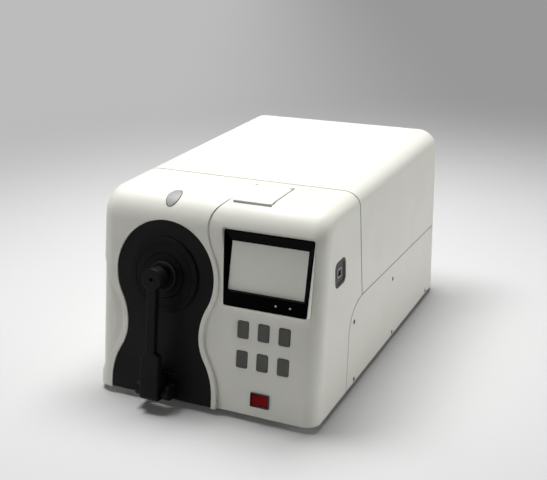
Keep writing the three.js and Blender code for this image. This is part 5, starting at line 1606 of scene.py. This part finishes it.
@dataclass(frozen=True)
class Display:
    """The tilted display: wedge housing, sloped bezel, panel and two status lamps."""

    form: CaseForm = FORM
    left: float = 22.0
    foot: float = 131.0
    width: float = 114.0
    height: float = 89.0
    proud: float = 8.6
    tilt: float = 6.6 * DEGREE
    depth: float = 14.0
    corner: float = 4.0
    edge: float = 0.6
    taper: Steps = ((4.5, -4.0), (0.0, 1.5))
    rise: float = 3.5
    rim: float = 1.4
    bezel: float = 4.0
    lip: float = 1.2
    margin_side: float = 8.2
    margin_top: float = 11.0
    margin_foot: float = 20.6
    bezel_edge: Steps = ((0, 0.35), (0.12, 0.12), (0.4, 0))
    slope_foot: float = 2.2
    ridge_corner: float = 0.8
    panel_margin: float = 3.5
    lamps: tuple[float, float] = (73.0, 91.0)
    lamp_height: float = 10.6
    lamp_radius: float = 1.2
    lamp_rise: float = 0.6
    lamp_sink: float = 0.05
    cell_depth: float = 5.0
    cell_corner: float = 1.75
    cell_edge: float = 0.25
    flange: tuple[float, float, float] = (3.0, 6.0, 3.0)
    flange_thickness: float = 2.0

    @property
    def place(self) -> Place:
        """The display's front plane."""
        return self.form.face.shifted(self.left, self.foot, self.proud).tipped(-self.tilt)

    def tapered(self, shape: Array) -> Array:
        """Widens an outline towards the top: x moves by the two side shifts, shared by its height."""
        up, across = shape[:, 1] / self.height, shape[:, 0] / self.width
        (foot_left, top_left), (foot_right, top_right) = self.taper
        left, right = foot_left + (top_left - foot_left) * up, foot_right + (top_right - foot_right) * up
        return np.column_stack((shape[:, 0] + left + (right - left) * across, shape[:, 1] + self.rise * up))

    def plate(self, grow: float) -> Array:
        """The display's outline grown all round."""
        x, y = self.width / 2, self.height / 2
        return self.tapered(rounded_rect(2 * (x + grow), 2 * (y + grow), self.corner + grow, x, y))

    def window(self, grow: float, corner: float = 0.6) -> Array:
        """The window's outline grown all round."""
        x0, x1 = self.margin_side - grow, self.width - self.margin_side + grow
        y0, y1 = self.margin_foot - grow, self.height - self.margin_top + grow
        return rounded_rect(x1 - x0, y1 - y0, corner, (x0 + x1) / 2, (y0 + y1) / 2)

    def opening(self) -> Surface:
        """What the front cover is cut by."""
        return prism(self.plate(0), -OVERRUN, OVERRUN).placed(self.place)

    def housing(self) -> Solid:
        """The wedge with its rim, and its flange behind the wall.

        Returns:
            The housing as a solid.
        """
        back = self.form.wall + FIT
        side, low, high = self.flange
        x, y = self.left + self.width / 2, self.foot + (self.height + high - low) / 2
        shape = rounded_rect(self.width + 2 * side, self.height + low + high, self.corner, x, y)
        flange = prism(shape, -back - self.flange_thickness, -back)
        flange = Solid(flange.placed(self.form.face)).common(self.form.hull(back, self.form.feet))
        body = prism(self.plate(-SLIDE_FIT), -self.depth, 0, 0, self.edge).placed(self.place)
        inside = self.panel_margin
        cell_floor = -self.bezel - self.cell_depth - 3 * FIT
        return flange.join(body).cut(
            prism(self.plate(FIT - SLIDE_FIT - self.rim), -self.bezel - FIT, OVERRUN).placed(self.place),
            prism(self.window(inside + FIT), cell_floor, OVERRUN).placed(self.place),
            prism(self.window(0), -self.depth - OVERRUN, OVERRUN).placed(self.place),
        )

    def frame_piece(self) -> Solid:
        """The bezel: outer edge, narrow flat lip, and four slopes down to the window.

        Returns:
            The bezel as a solid.
        """
        outer = self.plate(-SLIDE_FIT - self.rim)
        margin = SLIDE_FIT + self.rim + self.lip
        foot, top = self.margin_foot - self.slope_foot, self.height - margin
        middle, width = (top + foot) / 2, self.width - 2 * margin
        ridge = self.tapered(rounded_rect(width, top - foot, self.ridge_corner, self.width / 2, middle))
        rings = [(outer, -self.bezel)]
        rings += [(grown(outer, -inwards), -down) for inwards, down in self.bezel_edge]
        rings += [(ridge, 0.0), (self.window(0), -self.bezel), (grown(self.window(0), FIT), -self.bezel)]
        bezel = Solid(loft(stacked(rings), end_to_end=True))
        hole = rod(self.lamp_radius + FIT, -OVERRUN, OVERRUN, 40)
        bezel.cut(*[hole.moved(x, self.lamp_height, 0) for x in self.lamps])
        return bezel.placed(self.place)

    def cell(self) -> Surface:
        """The panel behind the window, its front edge just broken."""
        front = -self.bezel - FIT
        shape = self.window(self.panel_margin, self.cell_corner)
        return prism(shape, front - self.cell_depth, front, 0, self.cell_edge).placed(self.place)

    def lamp(self, x: float) -> Surface:
        """One status lamp with a domed end."""
        a = np.linspace(0, QUARTER, 7)
        dome = np.column_stack((self.lamp_radius * np.cos(a), self.lamp_rise * np.sin(a) - self.lamp_sink))
        profile = [(0, -self.bezel), (self.lamp_radius, -self.bezel), *dome.tolist()]
        return turned(profile, 40).moved(x, self.lamp_height, 0).placed(self.place)

    def build(self, shop: Workshop) -> None:
        """Makes the display's pieces."""
        shop.piece("display_wedge", self.housing(), SHELL, "case", "display_housing")
        shop.piece("sloped_bezel", self.frame_piece(), BEZEL, "case", "display_bezel", crease=12)
        shop.piece("screen_cell", self.cell(), CELL, "case", "display_panel")
        for side, x in zip(("left", "right"), self.lamps):
            shop.piece(f"lamp_dome_{side}", self.lamp(x), LAMP_DOME, "case", f"status_lamp_{side}")


@dataclass(frozen=True)
class Keypad:
    """Six keys with soft edges and slightly dished tops."""

    form: CaseForm = FORM
    width: float = 14.4
    height: float = 21.1
    corner: float = 2.2
    pitch: tuple[float, float] = (26.8, 36.5)
    centre: tuple[float, float] = (78.2, 85.8)
    proud: float = 0.9
    flange: float = 2.0
    back: float = 4.5
    hole_depth: float = 12.0
    edge: float = 0.8
    dish: float = 0.35

    def places(self) -> dict[str, tuple[float, float]]:
        """Each key's name and its centre on the face."""
        found = {}
        for row, row_name in ((0.5, "upper"), (-0.5, "lower")):
            for column, name in ((-1, "left"), (0, "middle"), (1, "right")):
                x = self.centre[0] + column * self.pitch[0]
                found[f"{row_name}_{name}"] = (x, self.centre[1] + row * self.pitch[1])
        return found

    def holes(self) -> list[Surface]:
        """What the front cover is cut by, one hole for each key."""
        gap = 2 * SLIDE_FIT
        shape = rounded_rect(self.width + gap, self.height + gap, self.corner + SLIDE_FIT)
        hole = prism(shape, -self.hole_depth, OVERRUN)
        return [hole.moved(x, y, 0).placed(self.form.face) for x, y in self.places().values()]

    def key(self) -> Surface:
        """One key: flange behind the wall, straight sides, rounded edge, dished top.

        Returns:
            The key about its own middle.
        """
        cap = rounded_rect(self.width, self.height, self.corner)
        skirt = rounded_rect(self.width + 2 * self.flange, self.height + 2 * self.flange, self.corner)
        front = -self.form.wall - FIT
        rings = [(skirt, -self.back), (skirt, front), (cap, front)]
        r, shoulder = self.edge, self.proud - self.edge
        a = np.linspace(0, QUARTER, 6)
        rings += [(grown(cap, -r * (1 - math.cos(t))), shoulder + r * math.sin(t)) for t in a]
        shape = stacked(rings)
        return loft(np.concatenate((shape, domed(shape[-1], -self.dish, 8))))

    def build(self, shop: Workshop) -> None:
        """Makes the keys; the mat and the board behind them stay as they are."""
        for name, (x, y) in self.places().items():
            key = self.key().moved(x, y, 0).placed(self.form.face)
            shop.piece(f"soft_key_{name}", key, KEYS, f"key_{name}", f"key_{name}")
        shop.dress(RUBBER, "keypad_mat")
        shop.dress(BOARD, "keypad_board")


@dataclass(frozen=True)
class PowerSwitch:
    """The rocker switch under the keys."""

    form: CaseForm = FORM
    x: float = 77.5
    height: float = 20.9
    flange: tuple[float, float] = (24.4, 17.4)
    body: tuple[float, float] = (22.6, 15.4)
    depth: float = 16.0
    front: float = 1.9
    well: float = 10.0
    radius: float = 10.4
    rocker_half: float = 6.7
    sink: float = 2.2
    rest: float = 10 * DEGREE
    low: float = 20 * DEGREE
    high: float = 24 * DEGREE
    corner: float = 1.2
    edge: float = 0.6
    body_sink: float = 0.8
    slope: float = 0.7
    flare: float = 1.2
    well_corner: float = 0.4
    rocker_edge: float = 0.5
    dish_floor: float = 2.4
    sole: float = -4.0
    sole_share: float = 0.78

    @property
    def place(self) -> Place:
        """The switch's middle on the face."""
        return self.form.face.shifted(self.x, self.height, 0)

    def opening(self) -> Surface:
        """What the front cover is cut by."""
        shape = rounded_rect(*[side + 2 * FIT for side in self.body], self.corner)
        return prism(shape, -OVERRUN, OVERRUN).placed(self.place)

    def housing(self) -> Solid:
        """The frame with its well, the frame's edge rounded and sloping in to the rocker.

        Returns:
            The frame as a solid.
        """
        flange = prism(rounded_rect(*self.flange, self.corner), FIT, self.front, 0, self.edge)
        body = prism(rounded_rect(*self.body, self.corner), -self.depth, self.front - self.body_sink)
        x, y = self.radius + FIT, self.rocker_half + FIT
        well = filleted(np.array([[-x, -y], [x, -y], [x, y], [-x, y]]), self.well_corner, 3)
        front, slope = self.front, self.slope
        sides = [[0, front - self.well], [0, front - slope], [slope, front], [self.flare, OVERRUN]]
        cutter = carried(well, sides)
        housing = Solid(flange).join(body).cut(cutter)
        return housing.placed(self.place)

    def rocker(self) -> Surface:
        """The rocker: rounded ends, dished top, edges softened across its width.

        Returns:
            The rocker as it rests.
        """
        r, turns = self.radius, 9
        right = arc(0, 0, r, -self.low, self.high, turns)
        left = arc(0, 0, r, math.pi - self.high, math.pi + self.low, turns)
        t = np.linspace(-1, 1, 25)[1:-1]
        tip = r * math.sin(self.high)
        dish = np.column_stack((-t * r * math.cos(self.high), tip - (tip - self.dish_floor) * (1 - t**2)))
        half = r * self.sole_share
        sole = np.array([[-half, self.sole], [half, self.sole]])
        section = outline(right, dish, left, sole)
        rocker = prism(section, -self.rocker_half, self.rocker_half, self.rocker_edge, self.rocker_edge)
        upright = HERE.tipped(QUARTER)
        tilted = HERE.shifted(0, 0, -self.sink).swung(self.rest)
        return rocker.placed(upright).placed(tilted).placed(self.place)

    def build(self, shop: Workshop) -> None:
        """Makes the switch."""
        shop.piece("switch_frame", self.housing(), SWITCH_FRAME, "case", "power_switch_body")
        shop.piece("red_rocker", self.rocker(), ROCKER, "rocker", "power_rocker")


@dataclass(frozen=True)
class MeasureButton:
    """The oval button that follows the rounded top edge over the port."""

    form: CaseForm = FORM
    angle: float = 63.5 * DEGREE
    half_width: float = 8.3
    half_length: float = 14.0
    gap: float = 0.7
    proud: float = 0.8
    flange: float = 2.0
    core: float = 27.5
    edge: float = 0.7
    crown_rise: float = 0.25
    crown_steps: int = 9

    @property
    def place(self) -> Place:
        """The centre of the raised top edge's arc, z out through the button."""
        y, z = self.form.crest(self.form.port_proud, self.form.port_lean)
        return HERE.shifted(self.form.port_x, y, z).tipped(QUARTER - self.angle)

    def oval(self, grow: float) -> Array:
        """An ellipse grown on both axes: ((a + g) cos t, (b + g) sin t)."""
        t = np.linspace(0, 2 * math.pi, 96, endpoint=False)
        a, b = self.half_width + grow, self.half_length + grow
        return np.column_stack((a * np.cos(t), b * np.sin(t)))

    def opening(self) -> Surface:
        """What the front cover is cut by."""
        return prism(self.oval(self.gap), self.core, self.form.front.radius + OVERRUN).placed(self.place)

    def button(self) -> Surface:
        """The button: ring k is the ellipse shrunk by s_k, each point set at its height on a cylinder.

        A point (x, y) of a ring at radius R stands at z = sqrt(R^2 - y^2), so that the crown
        follows the case's edge; the crown's middle rises a little more.

        Returns:
            The closed surface.
        """
        y0, _ = self.form.crest(0, self.form.lean)
        y1, _ = self.form.crest(self.form.port_proud, self.form.port_lean)
        seat = self.form.front.radius - self.form.wall - (y0 - y1) - FIT
        crown = self.form.front.radius + self.proud
        a = np.linspace(0, QUARTER, 6)
        layers = [(self.flange, self.core, False), (self.flange, seat, True), (0.0, seat, True)]
        r = self.edge
        layers += [(-r * (1 - math.cos(t)), crown - r + r * math.sin(t), True) for t in a]
        rings = []
        for grow, height, curved in layers:
            oval = self.oval(grow)
            z = np.sqrt(height**2 - oval[:, 1] ** 2) if curved else np.full(len(oval), height)
            rings.append(np.column_stack((oval, z)))
        top = self.oval(-r)
        for s in closing(self.crown_steps):
            flat = s * top
            height = np.sqrt(crown**2 - flat[:, 1] ** 2) + self.crown_rise * (1 - s**2)
            rings.append(np.column_stack((flat, height)))
        return loft(np.stack(rings)).placed(self.place)

    def build(self, shop: Workshop) -> None:
        """Makes the button; the switch plate under it stays as it is."""
        shop.piece("oval_button", self.button(), BUTTON, "measure_button", "measure_button")
        shop.dress(BOARD, "measure_switch")


@dataclass(frozen=True)
class TopLid:
    """The lid in the top with its finger lip, barrel and pin, and the well under it."""

    form: CaseForm = FORM
    x: float = 45.9
    width: float = 49.8
    gap: float = 1.2
    front: float = 62.0
    proud: float = 1.0
    thickness: float = 3.0
    barrel: float = 3.2
    axis_depth: float = 123.2
    mouth_front: float = 66.0
    mouth_rear: float = 127.0
    lip_drop: float = 1.0
    nose_drop: float = 0.9
    flat_depth: float = 78.0
    relief: float = 0.4
    barrel_half: float = 21.3
    pin: float = 1.2
    edge: float = 0.35

    @property
    def top(self) -> float:
        """Height of the lid's flat top."""
        return self.form.top + self.proud

    def opening(self) -> Surface:
        """What the front cover is cut by."""
        half = self.width / 2 + self.gap
        return block(
            (self.x - half, self.mouth_front, self.form.top - OVERRUN),
            (self.x + half, self.mouth_rear, self.form.top + OVERRUN),
        )

    def cover_top(self, depth: float) -> float:
        """Height of the case's rounded edge at a depth."""
        y, z = self.form.crest(0, self.form.lean)
        return z + math.sqrt(self.form.front.radius**2 - (y - depth) ** 2)

    def lid(self) -> Solid:
        """The lid: a thin plate whose nose bends down over the case's edge.

        Returns:
            The closed lid as a solid.
        """
        lip, mouth = self.cover_top(self.mouth_front) + FIT, self.mouth_front + FIT
        rear = self.axis_depth - self.barrel - self.relief
        t = np.linspace(0, 1, 9)
        reach = self.flat_depth + (self.front - self.flat_depth) * t
        nose = np.column_stack((reach, self.top - self.nose_drop * t**2))
        section = outline(
            [(self.front, lip - self.lip_drop), (self.mouth_front, lip), (mouth, lip)],
            [(mouth, self.top - self.thickness), (rear, self.top - self.thickness), (rear, self.top)],
            nose,
        )
        half = self.width / 2
        plate = prism(section, self.x - half, self.x + half, self.edge, self.edge).placed(ACROSS)
        neck = block(
            (self.x - self.barrel_half, rear - self.relief, self.top - self.thickness),
            (self.x + self.barrel_half, self.axis_depth, self.top),
        )
        axis = (self.x, self.axis_depth, self.top - self.barrel)
        barrel = rod(self.barrel, -self.barrel_half, self.barrel_half, 64).placed(ACROSS).moved(*axis)
        bore = rod(self.pin + FIT, -2 * OVERRUN, 2 * OVERRUN, 32).placed(ACROSS).moved(*axis)
        return Solid(plate).join(neck, barrel).cut(bore)

    def build(self, shop: Workshop) -> None:
        """Makes the lid; its well and pin stay as they are."""
        shop.piece("flip_lid", self.lid(), SHELL, "lid", "top_lid")
        shop.dress(SHELL, "lid_well")
        shop.dress(STEEL, "lid_pin")


@dataclass(frozen=True)
class SidePort:
    """The dished plate in the right wall with its data socket."""

    form: CaseForm = FORM
    depth: float = 78.4
    height: float = 175.0
    size: float = 32.0
    corner: float = 8.0
    proud: float = 0.6
    back: float = 5.2
    flange: float = 3.0
    dish: float = 24.0
    dish_depth: float = 1.6
    dish_rim: Steps = ((0, -0.9), (0.15, -0.5), (0.5, -0.15), (0.9, 0))
    flare: float = 1.2
    edge: float = 0.8
    flange_thickness: float = 1.9
    socket_corner: float = 1.3
    socket: tuple[float, float] = (12.0, 10.8)

    @property
    def place(self) -> Place:
        """The plate's front on the right wall: x runs back, y up and z out of the wall."""
        front = HERE.shifted(self.form.width / 2 + self.proud, self.depth, self.height)
        return front.then(ACROSS.matrix[:3, :3])

    def opening(self) -> Surface:
        """What the front cover is cut by."""
        shape = rounded_rect(self.size + 2 * FIT, self.size + 2 * FIT, self.corner + FIT)
        return prism(shape, -OVERRUN, OVERRUN).placed(self.place)

    def plate(self) -> Solid:
        """The plate: rounded edge, dished middle with a soft rim, a hole for the socket.

        Returns:
            The plate as a solid.
        """
        body = prism(rounded_rect(self.size, self.size, self.corner), -self.back, 0, 0, self.edge)
        broad, front = self.size + 2 * self.flange, -self.proud - self.form.wall - FIT
        flange = rounded_rect(broad, broad, self.corner + self.flange)
        flange = prism(flange, front - self.flange_thickness, front)
        dish = rounded_rect(self.dish, self.dish, self.corner / 2)
        cutter = carried(dish, [(0, -self.dish_depth), *self.dish_rim, (self.flare, OVERRUN)])
        hole = rounded_rect(self.socket[0] + 2 * FIT, self.socket[1] + 2 * FIT, self.socket_corner)
        plate = Solid(body).join(flange).cut(cutter, prism(hole, -OVERRUN, OVERRUN))
        return plate.placed(self.place)

    def build(self, shop: Workshop) -> None:
        """Makes the plate; the socket stays as it is."""
        shop.piece("dished_plate", self.plate(), SOCKET, "case", "side_port_frame")
        shop.dress(STEEL, "side_socket")


@dataclass(frozen=True)
class Inside:
    """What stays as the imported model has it: optics, electronics and the back's fittings."""

    def build(self, shop: Workshop) -> None:
        """Gives each inner node its finish.

        Args:
            shop: Where the finishes are given.
        """
        shop.dress(CHALK, "sphere_front_half", "sphere_port_ring", "sphere_rear_half")
        shop.dress(SHEET, "sphere_stand", "spectrometer_stand", "chassis_plate")
        shop.dress(SHEET, "lamp_housing", "lens_tube", "power_supply", "rear_panel")
        shop.dress(BULB, "flash_lamp")
        shop.dress(GLASS, "viewing_lens", "diffraction_grating")
        shop.dress(PANEL, "spectrometer_housing", "spectrometer_cover", "power_inlet")
        shop.dress(BOARD, "line_sensor", "main_board")
        shop.dress(STEEL, "data_port")


@dataclass(frozen=True)
class SoftBox:
    """A rectangular lamp: where it hangs and its size in metres, and its power in watts."""

    name: str
    place: tuple[float, float, float]
    size: tuple[float, float]
    power: float


@dataclass(frozen=True)
class Studio:
    """The photograph's camera, a pale floor, and soft light from above, the front left and the right."""

    position: tuple[float, float, float] = (0.54124, -1.12197, 0.62039)
    right: tuple[float, float, float] = (0.90329976, 0.42839949, -0.02287841)
    down: tuple[float, float, float] = (0.13399071, -0.33238267, -0.9335782)
    forward: tuple[float, float, float] = (-0.40754881, 0.84023547, -0.35764273)
    lens: float = 64.73
    sensor: float = 36.0
    shift: tuple[float, float] = (-0.0024, 0.001)
    clip: tuple[float, float] = (0.01, 50.0)
    heading: float = 25.9 * DEGREE
    floor_colour: str = "D8D8D8"
    left_tone: str = "BCBCBC"
    right_tone: str = "989898"
    floor_rings: tuple[float, ...] = (0.0, 0.5, 1.0, 2.0, 4.0, 8.0, 14.0)
    sweep_reach: tuple[float, float] = (0.42, 1.65)
    tone_reach: tuple[float, float] = (-0.35, 0.6)
    fibre_mm: float = 3.0
    fibre_depth_mm: float = 0.02
    fill: float = 0.06
    target: tuple[float, float, float] = (0.0, 0.0, 0.12)
    lamps: tuple[SoftBox, ...] = (
        SoftBox("overhead box", (-0.25, 0.28, 1.75), (1.5, 0.6), 42),
        SoftBox("front box", (-1.7, -1.7, 0.6), (1.2, 0.7), 7.4),
        SoftBox("side box", (2.4, 0.3, 0.45), (1.2, 0.6), 15),
    )

    def camera(self) -> None:
        """Sets the camera where the photograph was taken from."""
        data = bpy.data.cameras.new("camera")
        data.lens = self.lens
        data.sensor_width = self.sensor
        data.shift_x, data.shift_y = self.shift
        data.clip_start, data.clip_end = self.clip
        axes = np.eye(4)
        axes[:3, 0] = self.right
        axes[:3, 1] = -np.array(self.down)
        axes[:3, 2] = -np.array(self.forward)
        axes[:3, 3] = self.position
        camera = shown("camera", data)
        camera.matrix_world = Matrix(axes.tolist())
        bpy.context.scene.camera = camera

    def floor(self) -> None:
        """A wide floor, pale round the object and greyer far behind it."""
        a = np.linspace(0, 2 * math.pi, 96, endpoint=False)
        r = np.array(self.floor_rings)
        x, y = np.outer(r, np.cos(a)), np.outer(r, np.sin(a))
        rings = np.stack((x, y, np.zeros_like(x)), axis=-1)
        index = np.arange(rings.size // 3).reshape(len(r), -1)
        low, high = index[:-1], index[1:]
        quads = np.stack((low, high, np.roll(high, -1, 1), np.roll(low, -1, 1)), axis=-1).reshape(-1, 4)
        mesh = bpy.data.meshes.new("floor")
        mesh.from_pydata(rings.reshape(-1, 3).tolist(), [], quads.tolist())
        mesh.materials.append(self.floor_material())
        shown("floor", welded(mesh, 1e-5, outwards=False))

    def floor_material(self) -> bpy.types.Material:
        """Matt paper that takes the shadow near the object and turns to a plain backdrop far off.

        Returns:
            The material.
        """
        made = bpy.data.materials.new("matt paper sweep")
        tree = bare_tree(made)
        place = add_node(tree, "ShaderNodeTexCoord").outputs["Object"]
        fibre = add_node(
            tree, "ShaderNodeTexNoise", {"Vector": place, "Scale": 1 / (MM * self.fibre_mm), "Detail": 2.0}
        ).outputs["Fac"]
        bump = add_node(
            tree, "ShaderNodeBump", {"Height": fibre, "Strength": 0.3, "Distance": MM * self.fibre_depth_mm}
        ).outputs["Normal"]
        paper = add_node(
            tree,
            "ShaderNodeBsdfPrincipled",
            {"Base Color": linear(self.floor_colour), "Roughness": 0.75, "Normal": bump},
        )
        reach = add_node(tree, "ShaderNodeVectorMath", {0: place}, operation="LENGTH").outputs["Value"]
        share = self.eased(tree, reach, self.sweep_reach)
        rays = add_node(tree, "ShaderNodeLightPath").outputs
        seen = rays["Is Camera Ray"]
        for name in ("Is Glossy Ray", "Is Transmission Ray"):
            both = add_node(tree, "ShaderNodeMath", {0: seen, 1: rays[name]}, operation="MAXIMUM")
            seen = both.outputs["Value"]
        tone = self.backdrop(tree, place)
        backdrop = add_node(tree, "ShaderNodeEmission", {"Color": tone, "Strength": 1.0})
        share = add_node(tree, "ShaderNodeMath", {0: seen, 1: share}, operation="MULTIPLY").outputs["Value"]
        mixed = add_node(
            tree,
            "ShaderNodeMixShader",
            {0: share, 1: paper.outputs["BSDF"], 2: backdrop.outputs["Emission"]},
        )
        add_node(tree, "ShaderNodeOutputMaterial", {"Surface": mixed.outputs["Shader"]})
        return made

    def backdrop(self, tree: Tree, place: Socket) -> Socket:
        """The far tone: lighter on the photograph's left than on its right.

        Args:
            tree: The material's tree.
            place: Object coordinates in metres.

        Returns:
            The socket with the colour.
        """
        turned_place = add_node(
            tree, "ShaderNodeMapping", {"Vector": place, "Rotation": (0, 0, -self.heading)}
        ).outputs["Vector"]
        across = add_node(tree, "ShaderNodeSeparateXYZ", {"Vector": turned_place}).outputs["X"]
        side = self.eased(tree, across, self.tone_reach)
        return add_node(
            tree,
            "ShaderNodeMix",
            {"Factor": side, 6: linear(self.left_tone), 7: linear(self.right_tone)},
            data_type="RGBA",
        ).outputs[2]

    @staticmethod
    def eased(tree: Tree, value: Socket, reach: tuple[float, float]) -> Socket:
        """How far a value has come through a reach in metres, eased at both ends: 3 t^2 - 2 t^3."""
        low, high = reach
        inputs = {"Value": value, "From Min": low, "From Max": high}
        eased = add_node(tree, "ShaderNodeMapRange", inputs, interpolation_type="SMOOTHSTEP")
        return eased.outputs["Result"]

    def lamp(self, box: SoftBox) -> None:
        """Hangs a soft box that faces the object.

        Args:
            box: The lamp's place, size and power.
        """
        data = bpy.data.lights.new(box.name, "AREA")
        data.shape = "RECTANGLE"
        data.size, data.size_y = box.size
        data.energy = box.power
        lamp = shown(box.name, data)
        lamp.location = box.place
        way = Vector(self.target) - Vector(box.place)
        lamp.rotation_euler = way.to_track_quat("-Z", "Y").to_euler()

    def world(self) -> None:
        """A plain grey surround that fills the shadows."""
        made = bpy.data.worlds.new("surround")
        tree = bare_tree(made)
        fill = add_node(tree, "ShaderNodeBackground", {"Color": (1, 1, 1, 1), "Strength": self.fill})
        wall = add_node(tree, "ShaderNodeBackground", {"Color": linear(self.left_tone), "Strength": 1.0})
        rays = add_node(tree, "ShaderNodeLightPath").outputs
        mixed = add_node(
            tree,
            "ShaderNodeMixShader",
            {0: rays["Is Camera Ray"], 1: fill.outputs["Background"], 2: wall.outputs["Background"]},
        )
        add_node(tree, "ShaderNodeOutputWorld", {"Surface": mixed.outputs["Shader"]})
        bpy.context.scene.world = made

    def build(self) -> None:
        """Sets camera, floor, lamps and world."""
        scene = bpy.context.scene
        scene.view_settings.view_transform = "Standard"
        self.camera()
        self.floor()
        self.world()
        for box in self.lamps:
            self.lamp(box)


def main() -> None:
    """Builds the studio and every sub-assembly in order."""
    logging.basicConfig(level=logging.INFO, format="%(name)s: %(message)s")
    Studio().build()
    shop = Workshop.on_packed_model(FORM.depth, FORM.width / 2)
    display, keypad, switch = Display(), Keypad(), PowerSwitch()
    button, lid, side = MeasureButton(), TopLid(), SidePort()
    shell = CaseShell()
    openings = [part.opening() for part in (display, button, lid, side, switch)]
    shell.build(shop, [*openings, *keypad.holes()])
    Feet().build(shop, shell.feet_at)
    for part in (MeasuringPort(), SampleArm(), display, keypad, switch, button, lid, side, Inside()):
        part.build(shop)
    LOG.info("%d pieces", len(shop.made))


if __name__ == "__main__":
    main()
